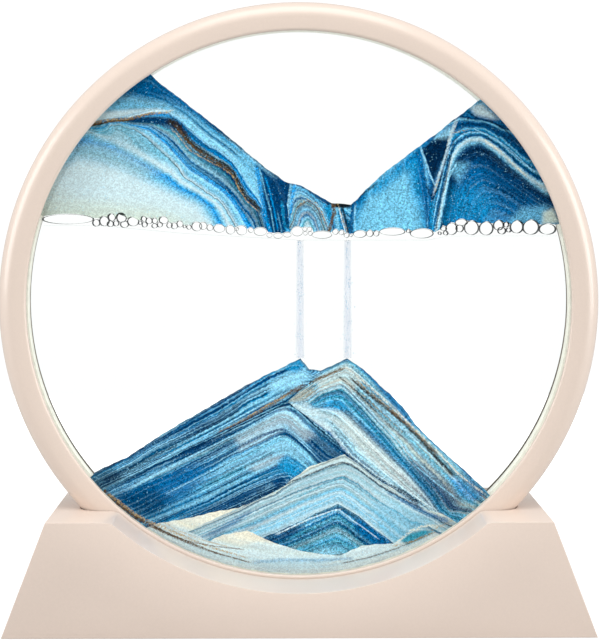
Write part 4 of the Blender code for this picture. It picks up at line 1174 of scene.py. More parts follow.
MOUND_CORE = {
    "guides": [
        (0, [(105.6, 491), (150, 469), (200, 445), (250, 421.5), (280, 407), (288, 403.5), (296, 408),
            (331, 438), (350, 456)]),
        (20, [(125, 503.5), (160, 487), (200, 466), (250, 440.5), (276, 427), (283, 425), (291, 431),
            (310, 448), (325, 461)]),
        (38, [(136, 515), (165, 500), (200, 483), (250, 458), (276, 445), (286, 442), (296, 448),
            (308, 459), (314, 467)]),
        (55, [(146, 522), (170, 513), (200, 499), (250, 475), (275, 463), (287, 460), (300, 469)]),
        (75, [(170, 529), (200, 516), (250, 492), (275, 481), (290, 478)]),
        (88, [(200, 524), (225, 515), (250, 505), (280, 490)]),
    ],
    "bands": [
        (0, "navy"), (1.4, "ink"), (4, "navy"), (6.4, "mid"), (7.6, "sky"), (9, "sky"), (11, "grey"),
        (12.6, "teal"), (14.4, "navy"), (17, "deep"), (18.4, "sky"), (19.6, "mid"), (22, "navy"),
        (25, "deep"), (26.6, "sky"), (28.2, "navy"), (31, "mid"), (32.4, "sky"), (34, "teal"),
        (37, "light"), (39, "sky"), (41, "mid"), (44, "light"), (47, "teal"), (50, "light"), (54, "mid"),
        (57, "light"), (62, "deep"), (68, "mid"), (74, "deep"), (81, "navy"), (88, "ink"),
    ],
    "patches": [
        ("deep", 0.8, 12, [(110, 496), (150, 482), (190, 466), (215, 470), (190, 500), (150, 520),
            (130, 518)]),
        ("ink", 0.55, 8, [(118, 500), (150, 490), (170, 500), (160, 518), (135, 520)]),
        ("navy", 0.75, 2.5, [(298, 430), (312, 432), (345, 456), (335, 463), (318, 464)]),
        ("sky", 0.5, 5, [(262, 452), (284, 444), (298, 453), (308, 464), (296, 460), (284, 457)]),
        ("mid", 0.7, 3, [(276, 466), (285, 458), (300, 466), (304, 474), (290, 480)]),
        ("navy", 0.8, 1.8, [(270, 484), (280, 479), (289, 484), (276, 490)]),
        ("navy", 0.6, 5, [(156, 524), (200, 508), (240, 494), (268, 486), (240, 508), (200, 519)]),
        ("pale", 0.42, 5, [(236, 440), (262, 424), (283, 411), (299, 420), (314, 437), (304, 443),
            (286, 429), (262, 442), (240, 452)]),
        ("pale", 0.4, 4, [(246, 470), (270, 458), (284, 456), (276, 466), (256, 474)]),
    ],
    "lines": [
        ("brown", 0.95, (2.2, 2.0), [(98, 487), (108, 498.5), (133, 518.5), (158, 532.5)]),
        ("gold", 0.9, (1.4, 1.4), [(110, 497.5), (134, 516.5), (159, 530)]),
        ("ink", 0.85, (0.7, 1.6), [(290, 405), (309, 419), (328, 434), (347, 455)]),
        ("navy", 0.8, (1.6, 1.0), [(232, 452), (260, 438), (281, 431), (292, 438), (306, 452)]),
        ("sky", 0.7, (0.6, 0.6), [(169, 495), (208, 475), (246, 456), (280, 438), (292, 446), (304, 458)]),
        ("sky", 0.65, (0.6, 0.6), [(136, 488), (169, 469), (214, 447), (239, 434), (271, 416), (285, 412)]),
        ("sky", 0.6, (1.6, 0.8), [(132, 490), (151, 479.5), (176, 466), (200, 454)]),
    ],
}

MOUND_RIGHT = {
    "guides": [
        (0, [(284, 406), (300, 391), (321, 373), (347.6, 360), (353, 362.5), (362.3, 371.5), (403.3, 409.7),
            (415.3, 428.1), (436.5, 449.2), (465.7, 475.8), (489, 497)]),
        (12, [(288, 405), (303, 394), (322, 382), (345, 371.5), (350, 375), (368.3, 392), (393.8, 414.5),
            (412.9, 434), (429.5, 450), (444.8, 466), (457.6, 480), (478, 501)]),
        (22, [(300, 402), (318, 389), (341, 380), (346, 384), (360.6, 400), (381, 421), (401.4, 440),
            (419.3, 458), (438.4, 480), (460, 508)]),
        (34, [(306, 407), (322, 396), (340, 390), (347, 395), (361.9, 411), (387.4, 440), (406.5, 463),
            (432, 492.4), (448.6, 516)]),
        (50, [(312, 412), (325, 405), (338, 403), (355.5, 420), (381, 446), (406.5, 472), (430, 500),
            (440, 516)]),
        (65, [(306, 412), (320, 412), (335, 417), (355.5, 436), (381, 461.8), (401.4, 481), (421, 500),
            (436, 518)]),
        (80, [(290, 406), (310, 421), (331, 438), (344.4, 456), (373.8, 479.9), (418.3, 509.4),
            (440, 520)]),
    ],
    "bands": [
        (0, "deep"), (1.6, "teal"), (4, "grey"), (6, "teal"), (7.4, "cream"), (8.4, "gold"), (9.4, "teal"),
        (11, "grey"), (12.6, "teal"), (14, "grey"), (16, "beige"), (18, "teal"), (20, "grey"),
        (22, "beige"), (24, "grey"), (27, "pale"), (29, "teal"), (31, "pale"), (34, "teal"), (37, "light"),
        (40, "mid"), (43, "teal"), (47, "mid"), (51, "light"), (55, "grey"), (59, "pale"), (62, "white"),
        (66, "grey"), (70, "pale"), (74, "grey"), (78, "pale"), (80, "deep"),
    ],
    "patches": [
        ("gold", 0.35, 2.5, [(288, 402), (300, 392), (312, 389), (316, 394), (304, 401), (294, 404)]),
        ("pale", 0.6, 3, [(292, 405), (306, 404), (322, 416), (334, 432), (326, 432), (306, 416)]),
        ("mid", 0.7, 3, [(320, 410), (330, 401), (342, 402), (350, 412), (340, 412)]),
        ("deep", 0.75, 2, [(368, 378), (376, 381), (404, 411), (416, 431), (410, 428), (396, 411)]),
        ("navy", 0.65, 8, [(405, 462), (425, 470), (462, 500), (458, 516), (440, 512), (420, 490)]),
        ("vivid", 0.5, 4, [(448, 480), (462, 484), (480, 500), (472, 506), (458, 496)]),
        ("deep", 0.7, 3, [(462, 474), (474, 484), (489, 497), (480, 498), (468, 486)]),
        ("deep", 0.5, 5, [(360, 424), (374, 434), (400, 460), (412, 476), (396, 462), (372, 440)]),
        ("cream", 0.34, 4, [(316, 379), (346, 364), (362, 382), (352, 394), (343, 385), (320, 393)]),
        ("cream", 0.3, 7, [(330, 420), (350, 424), (372, 446), (400, 474), (420, 498), (396, 482),
            (360, 452)]),
    ],
    "lines": [
        ("brown", 0.9, (1.6, 1.2), [(284, 404), (296.5, 391.5), (309, 384), (327, 376), (342, 370)]),
        ("umber", 0.9, (1.1, 1.6), [(352, 381), (364, 392), (381, 406), (399, 421), (417, 438),
            (429.5, 453), (451, 476)]),
        ("brown", 0.8, (1.0, 1.6), [(358, 384), (370, 395), (388, 410), (404, 424), (420, 439),
            (436, 456)]),
        ("gold", 0.6, (0.7, 0.7), [(360, 385), (374, 397), (390, 410), (406, 424), (422, 440)]),
        ("gold", 0.7, (0.6, 0.6), [(362, 396), (376, 409), (392, 424), (401, 433)]),
        ("cream", 0.7, (0.9, 0.9), [(348, 371), (368, 387), (394, 411), (419, 435), (438, 454), (458, 477),
            (483, 496)]),
        ("black", 0.8, (0.8, 0.8), [(340, 379), (350, 387), (362, 399), (374, 412)]),
        ("ink", 0.85, (1.6, 2.2), [(344, 455), (352, 462), (368, 474), (385, 487), (399, 493), (418, 506)]),
        ("white", 0.6, (0.7, 0.7), [(356, 452), (380, 472), (404, 492), (430, 510)]),
        ("sky", 0.6, (0.7, 0.7), [(417, 470), (436, 486), (454, 500), (466, 508)]),
    ],
}

MOUND_CREST = {
    "guides": [
        (0, [(186.6, 532), (238, 510), (273.9, 495), (307.2, 470), (325, 462), (344.4, 456), (358, 466),
            (373.8, 479.9), (418.3, 509.4), (454.7, 523.5)]),
        (10, [(190, 535), (240, 514), (262, 501), (294, 484.5), (326, 471), (345, 466), (358, 471.6),
            (383, 490.6), (409, 504), (444, 527)]),
        (23, [(200, 538), (245, 519), (290, 498), (325, 484), (342, 479.5), (356, 487), (380, 506),
            (412, 527)]),
        (36, [(215, 541), (250, 527), (300, 505), (330, 493), (341, 491), (352, 497.5), (375, 515),
            (402, 537)]),
        (50, [(228, 545), (262.4, 542), (300, 524), (337.9, 507), (358.6, 520), (393.4, 548)]),
    ],
    "bands": [
        (0, "cream"), (3, "beige"), (6, "pale"), (8.8, "beige"), (9.7, "ink"), (11, "grey"), (14, "pale"),
        (17, "grey"), (21.6, "pale"), (22.8, "teal"), (24.4, "pale"), (28, "grey"), (31, "pale"),
        (34, "grey"), (37, "light"), (40, "pale"), (44, "light"), (50, "pale"),
    ],
    "patches": [
        ("light", 0.5, 8, [(372, 506), (395, 508), (430, 524), (425, 536), (396, 544), (376, 524)]),
        ("deep", 0.6, 4, [(200, 541), (222, 529), (250, 514), (236, 528), (214, 540)]),
    ],
    "lines": [
        ("ink", 0.85, (0.7, 1.0), [(245.5, 508), (271, 495), (290, 485), (309, 477), (328, 469), (342, 465),
            (351, 467), (361, 474), (379, 488), (399, 500), (420, 511)]),
        ("teal", 0.7, (0.7, 0.7), [(300, 499), (324, 487), (342, 480), (358, 491), (376, 504)]),
        ("deep", 0.7, (1.4, 2.4), [(390, 497), (410, 508), (428, 518), (446, 524)]),
        ("cream", 0.8, (1.4, 1.4), [(440, 530), (424, 529.5), (412, 534), (398, 546)]),
        ("milk", 0.5, (0.7, 0.7), [(238, 541), (270, 529), (306, 513), (338, 499), (352, 507), (376, 526)]),
        ("gold", 0.6, (0.7, 0.7), [(452, 524), (440, 530), (428, 536)]),
    ],
}

MOUND_HEART = {
    "guides": [
        (0, [(262.4, 542), (300, 523.5), (337.9, 506.5), (358.6, 519.5), (393.4, 547.5)]),
        (9, [(274, 546), (310, 530), (337, 517), (352, 528), (380, 549)]),
        (18, [(285, 550), (315, 538), (337, 527), (350, 536), (368, 551)]),
        (32, [(300, 555), (320, 547), (337, 541), (348, 546), (358, 553)]),
        (46, [(310, 559), (340, 560)]),
    ],
    "bands": [
        (0, "ink"), (2.6, "navy"), (5.4, "mid"), (6.8, "sky"), (8.2, "deep"), (12, "teal"), (16, "deep"),
        (20, "teal"), (24, "grey"), (28, "teal"), (32, "mid"), (35, "teal"), (39, "light"), (42, "teal"),
        (46, "sky"),
    ],
    "patches": [
        ("navy", 0.75, 3, [(262, 542), (290, 528), (304, 530), (284, 546), (270, 548)]),
        ("deep", 0.8, 3, [(358, 522), (376, 534), (394, 548), (372, 549), (354, 534)]),
        ("sky", 0.7, 2, [(312, 556), (326, 552.5), (344, 556), (334, 560), (318, 559)]),
    ],
    "lines": [
        ("white", 0.75, (0.8, 0.7), [(279, 536.5), (309, 522.5), (332, 514), (338, 513)]),
        ("white", 0.5, (0.6, 0.6), [(340, 514), (356, 526), (376, 541)]),
        ("brown", 0.7, (0.8, 0.8), [(300, 556), (330, 560), (360, 556), (393, 549)]),
    ],
}

MOUND_BED = {
    "guides": [
        (0, [(148, 526), (170, 540), (200, 555), (235, 567), (270, 573.5), (299, 575), (330, 573),
            (362, 567), (400, 554), (437, 535)]),
        (8, [(156, 522), (175, 534), (203, 547), (237, 559), (271, 565.5), (299, 567), (329, 565),
            (359, 559), (396, 546), (432, 528)]),
        (18, [(182, 525), (208, 538), (240, 550), (272, 556), (299, 558), (328, 557), (355, 551),
            (392, 540)]),
        (32, [(215, 520), (236, 536), (262, 543)]),
    ],
    "bands": [
        (0, "milk"), (2.4, "pale"), (5, "milk"), (7, "pale"), (10, "milk"), (12, "pale"), (14, "milk"),
        (18, "beige"), (24, "milk"), (32, "cream"),
    ],
    "patches": [
        ("cream", 0.6, 3, [(157, 525), (185, 521), (222, 518), (238, 511), (215, 524), (190, 533)]),
        ("cream", 0.6, 3, [(210, 542), (228, 534), (246, 533), (262, 544), (240, 550)]),
        ("light", 0.45, 4, [(262, 566), (300, 562), (345, 561), (320, 568), (280, 570)]),
        ("pale", 0.5, 4, [(180, 552), (230, 566), (300, 576), (380, 566), (300, 572), (230, 560)]),
        ("white", 0.5, 7, [(196, 546), (236, 560), (299, 569), (362, 561), (402, 546), (355, 549),
            (300, 551), (246, 549)]),
        ("teal", 0.85, 2, [(400, 545), (410, 536.5), (422, 533.5), (437, 534), (424, 542), (408, 549)]),
    ],
    "lines": [
        ("brown", 0.9, (2.4, 0.5), [(98, 487), (108, 498.5), (133, 518.5), (158, 532.5), (190, 547),
            (216, 557), (248, 566)]),
        ("gold", 0.9, (2.2, 0.6), [(110, 496), (134, 515), (159, 528.5), (191, 543.5), (214, 552),
            (244, 561)]),
        ("brown", 0.7, (0.6, 0.6), [(150, 527), (170, 538), (188, 545), (214, 550), (240, 553)]),
        ("gold", 0.6, (0.6, 0.6), [(160, 523), (178, 534), (200, 543), (226, 550)]),
        ("cream", 0.85, (1.4, 1.2), [(396, 547), (408, 536), (421, 531.5), (438, 534)]),
        ("brown", 0.7, (0.6, 0.6), [(345, 567), (370, 561.5), (398, 552), (430, 538)]),
        ("gold", 0.7, (0.8, 1.2), [(396, 549.5), (414, 545), (436, 535), (450, 526)]),
        ("mid", 0.4, (1.6, 1.2), [(256, 566), (284, 564), (318, 564.5), (350, 563)]),
    ],
}

# The drawing of each heap, the strength of its grain and of its fine lines, and how close those are
HEAPS = {
    "bank_left": (BANK_LEFT, 0.5, 0.5, 0.5),
    "bank_centre": (BANK_CENTRE, 0.6, 0.4, 0.5),
    "bank_right": (BANK_RIGHT, 0.6, 0.12, 0.45),
    "mound_left": (MOUND_LEFT, 0.5, 0.8, 0.5),
    "mound_core": (MOUND_CORE, 0.5, 0.8, 0.42),
    "mound_right": (MOUND_RIGHT, 0.65, 0.6, 0.5),
    "mound_crest": (MOUND_CREST, 0.4, 0.34, 0.55),
    "mound_heart": (MOUND_HEART, 0.7, 0.4, 0.5),
    "mound_bed": (MOUND_BED, 0.45, 0.14, 0.3),
}


class SANDPICTURE_OT_ring(bpy.types.Operator):
    """Models the two halves of the plastic ring, with the screw bores and the filling port"""

    bl_idname = "sandpicture.ring"
    bl_label = "Ring Halves"

    def execute(self, context):
        sizes = settings().ring
        finish = settings().plastic
        plastic = moulded_plastic("cream_moulding", finish.colour, finish.roughness, finish.grain_size)
        front = turned("ring_half_front", [(r, -h) for r, h in self.profile(self.front_window())],
                       MIDDLE, "Y", sizes.facets)
        rear = turned("ring_half_rear", self.profile(self.rear_window()), MIDDLE, "Y", sizes.facets)
        for turn in range(6):
            angle = math.radians(60 * turn)
            place = (SCREW_PITCH * math.cos(angle), BORE_MIDDLE,
                     RING_Z + SCREW_PITCH * math.sin(angle))
            bore = cylinder("bore", SCREW_BORE, BORE_LENGTH, place, ALONG_Y, 40)
            combine(rear, bore, "DIFFERENCE")
        for half in (front, rear):
            for radius, depth in PORT_STEPS:
                place = (0, 0, RING_LOW.z + depth / 2 - 0.001)
                combine(half, cylinder("port", radius, depth + 0.002, place), "DIFFERENCE")
            smooth(half)
        dress(front, plastic, "cream_plastic", "ring", "ring_front")
        dress(rear, plastic, "cream_plastic", "ring", "ring_rear")
        return {"FINISHED"}

    def profile(self, window):
        """A half ring's section from its outer edge inwards, as (radius, depth)."""
        points = []
        for step in range(17):
            angle = math.pi / 2 * step / 16
            points.append((RING_RADIUS - SHOULDER_WIDTH * (1 - math.sin(angle)),
                           HALF_RING - SHOULDER_DEPTH * (1 - math.cos(angle))))
        points += [(RING_RADIUS, HALF_SEAM + 0.0003), (RING_RADIUS - 0.0003, HALF_SEAM)]
        points += [(POCKET_RADIUS, HALF_SEAM), (POCKET_RADIUS, POCKET_TOP)]
        return points + window

    def front_window(self):
        """The front window's edge: a thin rounded lip that is undercut towards the pane."""
        lip = settings().ring.lip_round
        points = [(WINDOW_RADIUS + FRONT_UNDERCUT, POCKET_TOP)]
        for step in range(9):
            angle = math.pi * step / 8
            points.append((WINDOW_RADIUS + lip * (1 - math.sin(angle)),
                           HALF_RING - lip * (1 + math.cos(angle))))
        return points

    def rear_window(self):
        """The rear window's edge, which flares towards the back."""
        lip = settings().ring.lip_round / 2
        flared = REAR_WINDOW_RADIUS + REAR_FLARE
        return [(REAR_WINDOW_RADIUS, POCKET_TOP), (REAR_WINDOW_RADIUS, POCKET_TOP + 0.0008),
                (flared, HALF_RING - lip), (flared + lip * 0.4, HALF_RING - lip * 0.3),
                (flared + lip, HALF_RING)]


class SANDPICTURE_OT_cell(bpy.types.Operator):
    """Models the two glass panes and the seal between them, and clears the liquid"""

    bl_idname = "sandpicture.cell"
    bl_label = "Glass Cell"

    def execute(self, context):
        sizes = settings().ring
        glass = clear_pane("window_pane", (0.992, 0.998, 0.996), GLASS_DENSITY)
        for node, name in (("glass_front", "pane_front"), ("glass_rear", "pane_rear")):
            low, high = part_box(node)
            middle = (0, (low.y + high.y) / 2, RING_Z)
            pane = cylinder(name, PANE_RADIUS, high.y - low.y, middle, ALONG_Y, sizes.facets)
            bevel_sharp(pane, PANE_EDGE, 2)
            smooth(pane)
            dress(pane, glass, "window_glass", "ring", node)
        half = SEAL_HIGH.y - SEAL_GAP
        outer = (SEAL_HIGH.x - SEAL_LOW.x) / 2
        inner, bowed = SEAL_INNER_RADIUS, SEAL_INNER_RADIUS + SEAL_BOW
        profile = [(outer, half), (outer, -half), (bowed, -half), (inner, -half * 0.6),
                   (inner, half * 0.6), (bowed, half)]
        seal = turned("seal_ring", profile, MIDDLE, "Y", sizes.facets)
        smooth(seal)
        dress(seal, seal_compound(sizes.seal_colour), "clear_seal", "ring_carrier", "cell_seal")
        liquid = clear_pane("still_liquid", (0.999, 1.0, 1.0), LIQUID_DENSITY)
        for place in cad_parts["liquid_upper"].material_slots:
            place.material = liquid
        lower = sheet_of_liquid("liquid_lower")
        dress(lower, liquid, "clear_liquid", "ring", "liquid_lower")
        return {"FINISHED"}


class SANDPICTURE_OT_base(bpy.types.Operator):
    """Models the slotted base with its scoop, slanted ends and hollow"""

    bl_idname = "sandpicture.base"
    bl_label = "Base"

    def execute(self, context):
        sizes = settings().base
        finish = settings().plastic
        body = box("base_body", (SHELL_LOW.x, SHELL_LOW.y, BASE_GAP), SHELL_HIGH)
        narrow_top(body, BASE_TOP_HALF / SHELL_HIGH.x)
        combine(body, cylinder("scoop", SCOOP_RADIUS, 0.2, MIDDLE, ALONG_Y, 256), "DIFFERENCE")
        bm = edit(body)
        select("DESELECT")
        bpy.ops.mesh.select_mode(type="EDGE")
        for edge in bm.edges:
            first, second = (vert.co for vert in edge.verts)
            top = min(first.z, second.z) > SHELL_HIGH.z - 0.0002
            runs_back = abs(first.x - second.x) < 0.0005 and abs(first.y - second.y) > 0.01
            edge.select_set(top and runs_back and abs(first.x) < BASE_TOP_HALF - 0.004)
        bmesh.update_edit_mesh(body.data)
        bpy.ops.mesh.bevel(offset=sizes.corner_width, segments=10, affect="EDGES")
        end_edit(body)
        bevel_sharp(body, sizes.edge_round, 5)

        slot = turned("slot", self.slot_profile(), MIDDLE, "Y", 256)
        combine(body, self.hollow(), "DIFFERENCE")
        foot, head = COVER_TOP + BOSS_GAP, SHELL_HIGH.z - BASE_ROOF
        for number in range(1, 5):
            x, y, _ = middle_of(f"base_screw_{number}")
            boss = cylinder("boss", BOSS_RADIUS, head - foot, (x, y, (head + foot) / 2))
            combine(body, boss, "UNION")
        combine(body, slot, "DIFFERENCE")
        smooth(body)
        plastic = moulded_plastic("cream_base_moulding", finish.base_colour, finish.roughness,
                                  finish.grain_size)
        dress(body, plastic, "cream_plastic", "base", "base_shell")
        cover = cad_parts["base_cover"]
        finish_under = moulded_plastic("cover_moulding", finish.cover_colour, 0.6, 0.0004)
        for place in cover.material_slots:
            place.material = finish_under
        return {"FINISHED"}

    def slot_profile(self):
        points = [(0.0, HALF_SLOT)]
        for step in range(13):
            angle = math.pi / 2 * step / 12
            points.append((SLOT_RADIUS - SHOULDER_WIDTH * (1 - math.sin(angle)),
                           HALF_SLOT - SHOULDER_DEPTH * (1 - math.cos(angle))))
        return points + [(radius, -height) for radius, height in reversed(points)]

    def hollow(self):
        """The room inside the base, open below, that follows its walls and the slot's web."""
        low = (SHELL_LOW.x + BASE_WALL, SHELL_LOW.y + BASE_WALL, SHELL_LOW.z - 0.002)
        high = (SHELL_HIGH.x - BASE_WALL, SHELL_HIGH.y - BASE_WALL, SHELL_HIGH.z - BASE_WALL)
        room = box("hollow", low, high)
        narrow_top(room, (BASE_TOP_HALF - BASE_WALL * 0.8) / (SHELL_HIGH.x - BASE_WALL))
        for name, radius, width in (("scoop_wall", SCOOP_RADIUS + BASE_WALL, 0.2),
                                    ("slot_web", SLOT_RADIUS + BASE_WALL, 2 * (HALF_SLOT + BASE_WALL))):
            combine(room, cylinder(name, radius, width, MIDDLE, ALONG_Y, 128), "DIFFERENCE")
        return room


class SANDPICTURE_OT_fittings(bpy.types.Operator):
    """Models one screw, one foot and the filling plug, and copies them to their places"""

    bl_idname = "sandpicture.fittings"
    bl_label = "Screws, Feet and Plug"

    def execute(self, context):
        steel = plated_steel()
        rubber = moulded_rubber()
        screw = self.screw()
        for number in range(1, 7):
            node = f"ring_screw_{number}"
            x, _, z = middle_of(node)
            place = (x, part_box(node)[1].y, z)
            turn = Matrix.Rotation(0.5 * number, 4, "Z")
            twin = copy_of(screw, f"screw_ring_{number}",
                           Matrix.Translation(place) @ Matrix.Rotation(-math.pi / 2, 4, "X") @ turn)
            dress(twin, steel, "screw_steel", "ring", node)
        for number in range(1, 5):
            node = f"base_screw_{number}"
            x, y, _ = middle_of(node)
            place = (x, y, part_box(node)[0].z)
            turn = Matrix.Rotation(0.7 * number, 4, "Z")
            twin = copy_of(screw, f"screw_base_{number}",
                           Matrix.Translation(place) @ Matrix.Rotation(math.pi, 4, "X") @ turn)
            dress(twin, steel, "screw_steel", "base", node)
        bpy.data.objects.remove(screw, do_unlink=True)

        foot = self.foot()
        for number in range(1, 5):
            node = f"foot_{number}"
            x, y, _ = middle_of(node)
            twin = copy_of(foot, f"foot_pad_{number}", Matrix.Translation((x, y, 0)))
            dress(twin, rubber, "grey_rubber", "base", node)
        bpy.data.objects.remove(foot, do_unlink=True)

        radius = (PLUG_HIGH.x - PLUG_LOW.x) / 2
        bottom, top = PLUG_LOW.z, PLUG_HIGH.z
        plug = turned("port_plug", [
            (0, bottom + 0.0004), (0.0008, bottom + 0.0004), (0.0011, bottom), (radius - 0.0004, bottom),
            (radius, bottom + 0.0003), (radius, bottom + 0.0010), (radius - 0.0002, bottom + 0.0012),
            (0.0014, bottom + 0.0012), (0.0014, bottom + 0.003), (0.0012, bottom + 0.0033),
            (0.0014, bottom + 0.0036), (0.0014, top - 0.0003), (0.0011, top), (0, top),
        ], (0, 0, 0), "Z", 40)
        smooth(plug)
        dress(plug, rubber, "grey_rubber", "ring", "fill_plug")
        return {"FINISHED"}

    def screw(self):
        """A pan-head screw, its head's top at the origin and its shank pointing down."""
        low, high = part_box("base_screw_1")
        reach = high.z - low.z
        screw = turned("screw", [
            (0, 0), (0.0009, 0), (0.0013, -0.0001), (SCREW_HEAD - 0.0001, -0.0004),
            (SCREW_HEAD, -0.0007), (SCREW_HEAD, -0.0012), (SCREW_HEAD - 0.0001, -0.0013),
            (0.0010, -0.0013), (0.0010, -reach + 0.0012), (0.0002, -reach), (0, -reach),
        ], (0, 0, 0), "Z", 40)
        for turn in (0, math.pi / 2):
            bar = box("recess", (-0.0010, -0.00016, -0.0007), (0.0010, 0.00016, 0.0005))
            bar.data.transform(Matrix.Rotation(turn, 4, "Z"))
            combine(screw, bar, "DIFFERENCE")
        smooth(screw)
        return screw

    def foot(self):
        """A push-in foot, its pad's flat face at the origin and its stem pointing up."""
        low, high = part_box("foot_1")
        radius = (high.x - low.x) / 2
        foot = turned("foot", [
            (0, 0.00025), (radius * 0.42, 0.00025), (radius * 0.48, 0), (radius * 0.86, 0),
            (radius * 0.96, 0.0001), (radius, 0.0004), (radius, 0.0015), (radius * 0.98, 0.0017),
            (0.0015, 0.0017), (0.0015, high.z - 0.0012), (0.0022, high.z - 0.0012),
            (0.0013, high.z), (0, high.z),
        ], (0, 0, 0), "Z", 48)
        smooth(foot)
        return foot


class SANDPICTURE_OT_sand(bpy.types.Operator):
    """Models each heap of sand and paints its layers"""

    bl_idname = "sandpicture.sand"
    bl_label = "Sand"

    def execute(self, context):
        for node, (heap, grain, lines, rate) in HEAPS.items():
            slab = sand_slab(node)
            if len(slab.data.vertices) < 100:
                raise RuntimeError(f"{node} came out empty")
            shape_sand(slab, node.startswith("bank"))
            paint_sand(slab, heap)
            material = layered_sand(f"layers_{node}", heap, settings().sand.grain, grain, lines, rate)
            dress(slab, material, f"{node}_sand", "ring", node)
        return {"FINISHED"}


class SANDPICTURE_OT_bubbles(bpy.types.Operator):
    """Models the row of bubbles that the upper sand rests on"""

    bl_idname = "sandpicture.bubbles"
    bl_label = "Bubbles"

    def execute(self, context):
        made = []
        for px, py, half_width, half_height in BUBBLES:
            x, z = drawn_to_place(px, py)
            deselect()
            bpy.ops.mesh.primitive_cylinder_add(
                vertices=28, radius=1, depth=1, location=(x, 0, z), rotation=ALONG_Y)
            bubble = named("bubble")
            bubble.scale = (half_width / DRAWN_PER_METRE_X, half_height / DRAWN_PER_METRE_Z,
                            BUBBLE_DEPTH)
            set_in_mesh(bubble)
            made.append(bubble)
        choose(*made)
        bpy.ops.object.join()
        raft = named("bubbles")
        bevel_sharp(raft, BUBBLE_EDGE, 4, 60.0)
        smooth(raft, 80.0)
        dress(raft, bubble_skin(), "trapped_air", "ring", "bubble_raft")
        return {"FINISHED"}


class SANDPICTURE_OT_streams(bpy.types.Operator):
    """Models the two streams of falling sand, each a thin veil with loose grains in it"""

    bl_idname = "sandpicture.streams"
    bl_label = "Falling Streams"

    def execute(self, context):
        haze = falling_haze()
        grains = falling_grains()
        for node, seed in (("stream_left", 5), ("stream_right", 8)):
            low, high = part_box(node)
            x = middle_of(node)[0]
            profile = [(0, low.z)]
            profile += [(VEIL_FOOT - (VEIL_FOOT - VEIL_TOP) * i / 12, low.z + (high.z - low.z) * i / 12)
                        for i in range(13)]
            profile += [(0, high.z)]
            veil = turned(f"{node}_veil", profile, (x, 0, 0), "Z", 40)
            smooth(veil)
            dress(veil, haze, "stream_sand", "ring", node)
            scatter = random.Random(seed)
            deselect()
            bpy.ops.mesh.primitive_ico_sphere_add(subdivisions=1, radius=LOOSE_GRAIN, location=(0, 0, 0))
            grain = named("grain")
            made = []
            for _ in range(GRAINS_PER_STREAM):
                share = scatter.random()
                spread = 0.00045 + 0.0004 * share
                across = scatter.gauss(0, spread)
                depth = max(-LOOSE_REACH, min(LOOSE_REACH, scatter.gauss(0, 0.0005)))
                place = Matrix.Translation((x + across, depth, high.z - (high.z - low.z) * share))
                size = Matrix.Scale(scatter.uniform(0.6, 1.15), 4)
                made.append(copy_of(grain, "grain_copy", place @ size))
            bpy.data.objects.remove(grain, do_unlink=True)
            choose(*made)
            bpy.ops.object.join()
            dress(named(f"{node}_grains"), grains, "stream_sand", "ring")
        return {"FINISHED"}


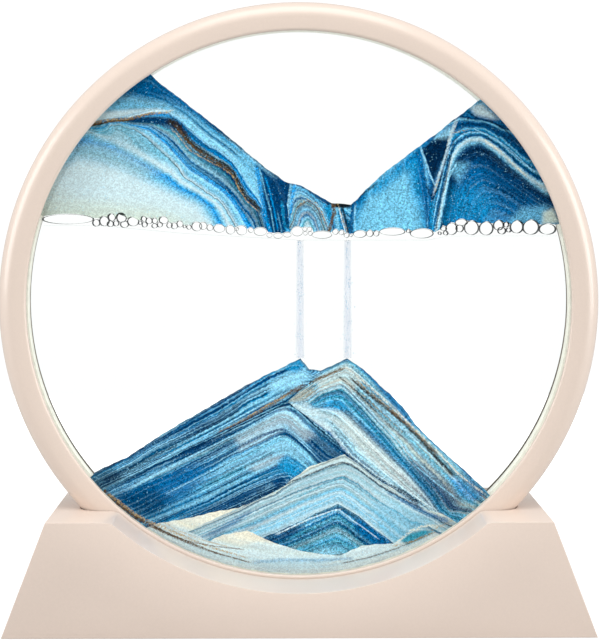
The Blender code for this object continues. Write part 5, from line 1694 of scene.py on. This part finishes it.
class SANDPICTURE_OT_stage(bpy.types.Operator):
    """Sets the floor, the soft lights and the camera"""

    bl_idname = "sandpicture.stage"
    bl_label = "Stage"

    def execute(self, context):
        values = settings().stage
        deselect()
        bpy.ops.mesh.primitive_plane_add(size=1.1, location=(0, 0, 0))
        floor = named("floor")
        nodes = Nodes("pale_floor")
        cloud = nodes.noise(nodes.place(), 3.0, 2.0)
        nodes.colour(nodes.ramp(cloud, [(0.3, (0.49, 0.49, 0.49)), (0.7, (0.51, 0.51, 0.51))]))
        distance = nodes.add("ShaderNodeVectorMath", {0: nodes.place()},
                             operation="LENGTH").outputs["Value"]
        seen = nodes.add("ShaderNodeLightPath").outputs["Is Camera Ray"]
        nodes.join(nodes.maths("MULTIPLY", seen, nodes.span(distance, 0.12, 0.40, 0.55, 1.0)),
                   nodes.shader.inputs["Emission Strength"])
        nodes.set(Roughness=0.9, Specular_IOR_Level=0.1, Emission_Color=(1, 1, 1, 1))
        floor.data.materials.append(nodes.material)

        world = bpy.data.worlds.new("white_room")
        world.use_nodes = True
        tree = world.node_tree
        room = tree.nodes["Background"]
        room.inputs["Color"].default_value = (1, 1, 1, 1)
        room.inputs["Strength"].default_value = values.surround
        behind = tree.nodes.new("ShaderNodeBackground")
        behind.inputs["Color"].default_value = (1, 1, 1, 1)
        behind.inputs["Strength"].default_value = values.backdrop
        path = tree.nodes.new("ShaderNodeLightPath")
        either = tree.nodes.new("ShaderNodeMixShader")
        tree.links.new(path.outputs["Is Camera Ray"], either.inputs[0])
        tree.links.new(room.outputs[0], either.inputs[1])
        tree.links.new(behind.outputs[0], either.inputs[2])
        tree.links.new(either.outputs[0], tree.nodes["World Output"].inputs["Surface"])
        context.scene.world = world

        self.light("key_light", (-1.3, -0.32, 0.5), 0.9, values.key)
        self.light("fill_light", (1.3, -0.38, 0.4), 0.9, values.fill)
        self.light("top_light", (0.0, -0.30, 1.30), 1.0, values.top)
        self.spot("window_light", (-0.12, -1.5, 0.32), values.window)

        deselect()
        bpy.ops.object.camera_add(location=CAMERA_PLACE, rotation=CAMERA_TURN)
        camera = bpy.context.object
        camera.name = "picture_camera"
        camera.data.sensor_width = 36
        camera.data.lens = values.lens
        camera.data.shift_y = CAMERA_SHIFT
        camera.data.clip_start = 0.01
        camera.data.clip_end = 50
        context.scene.camera = camera
        context.scene.view_settings.view_transform = "Standard"
        return {"FINISHED"}

    def light(self, name, location, size, power):
        """A square soft light that faces the middle of the ring."""
        lamp = self.lamp(name, "AREA", location, power)
        lamp.data.size = size

    def spot(self, name, location, power):
        """A narrow light from the front that just covers the window."""
        lamp = self.lamp(name, "SPOT", location, power)
        lamp.data.spot_size = math.radians(6.5)
        lamp.data.spot_blend = 0.12
        lamp.data.shadow_soft_size = 0.02
        lamp.visible_glossy = False

    def lamp(self, name, kind, location, power):
        deselect()
        bpy.ops.object.light_add(type=kind, location=location)
        lamp = bpy.context.object
        lamp.name = name
        lamp.data.energy = power
        away = lamp.location.copy()
        away.z -= RING_Z
        lamp.rotation_euler = away.to_track_quat("Z", "Y").to_euler()
        return lamp


class SANDPICTURE_PT_panel(bpy.types.Panel):
    """Lists the steps and their sizes"""

    bl_label = "Sand Picture"
    bl_idname = "SANDPICTURE_PT_panel"
    bl_space_type = "VIEW_3D"
    bl_region_type = "UI"
    bl_category = "Sand Picture"

    def draw(self, context):
        values = settings()
        for title, group in (("Plastic", values.plastic), ("Ring", values.ring), ("Base", values.base),
                             ("Sand", values.sand), ("Stage", values.stage)):
            column = self.layout.box().column()
            column.label(text=title)
            for key in group.bl_rna.properties.keys():
                if key not in ("rna_type", "name"):
                    column.prop(group, key)
        for step in STEPS:
            self.layout.operator(step.bl_idname)


GROUPS = (PlasticSettings, RingSettings, BaseSettings, SandSettings, StageSettings, SandPictureSettings)
STEPS = (
    SANDPICTURE_OT_stage,
    SANDPICTURE_OT_base,
    SANDPICTURE_OT_ring,
    SANDPICTURE_OT_cell,
    SANDPICTURE_OT_fittings,
    SANDPICTURE_OT_sand,
    SANDPICTURE_OT_bubbles,
    SANDPICTURE_OT_streams,
)


def register():
    for kind in (*GROUPS, *STEPS, SANDPICTURE_PT_panel):
        bpy.utils.register_class(kind)
    bpy.types.Scene.sand_picture = bpy.props.PointerProperty(
        type=SandPictureSettings, name="Sand picture", description="Sizes and colours")


def unregister():
    del bpy.types.Scene.sand_picture
    for kind in reversed((*GROUPS, *STEPS, SANDPICTURE_PT_panel)):
        bpy.utils.unregister_class(kind)


def main():
    register()
    for step in STEPS:
        group, name = step.bl_idname.split(".")
        getattr(getattr(bpy.ops, group), name)()
    deselect()


if __name__ == "__main__":
    main()
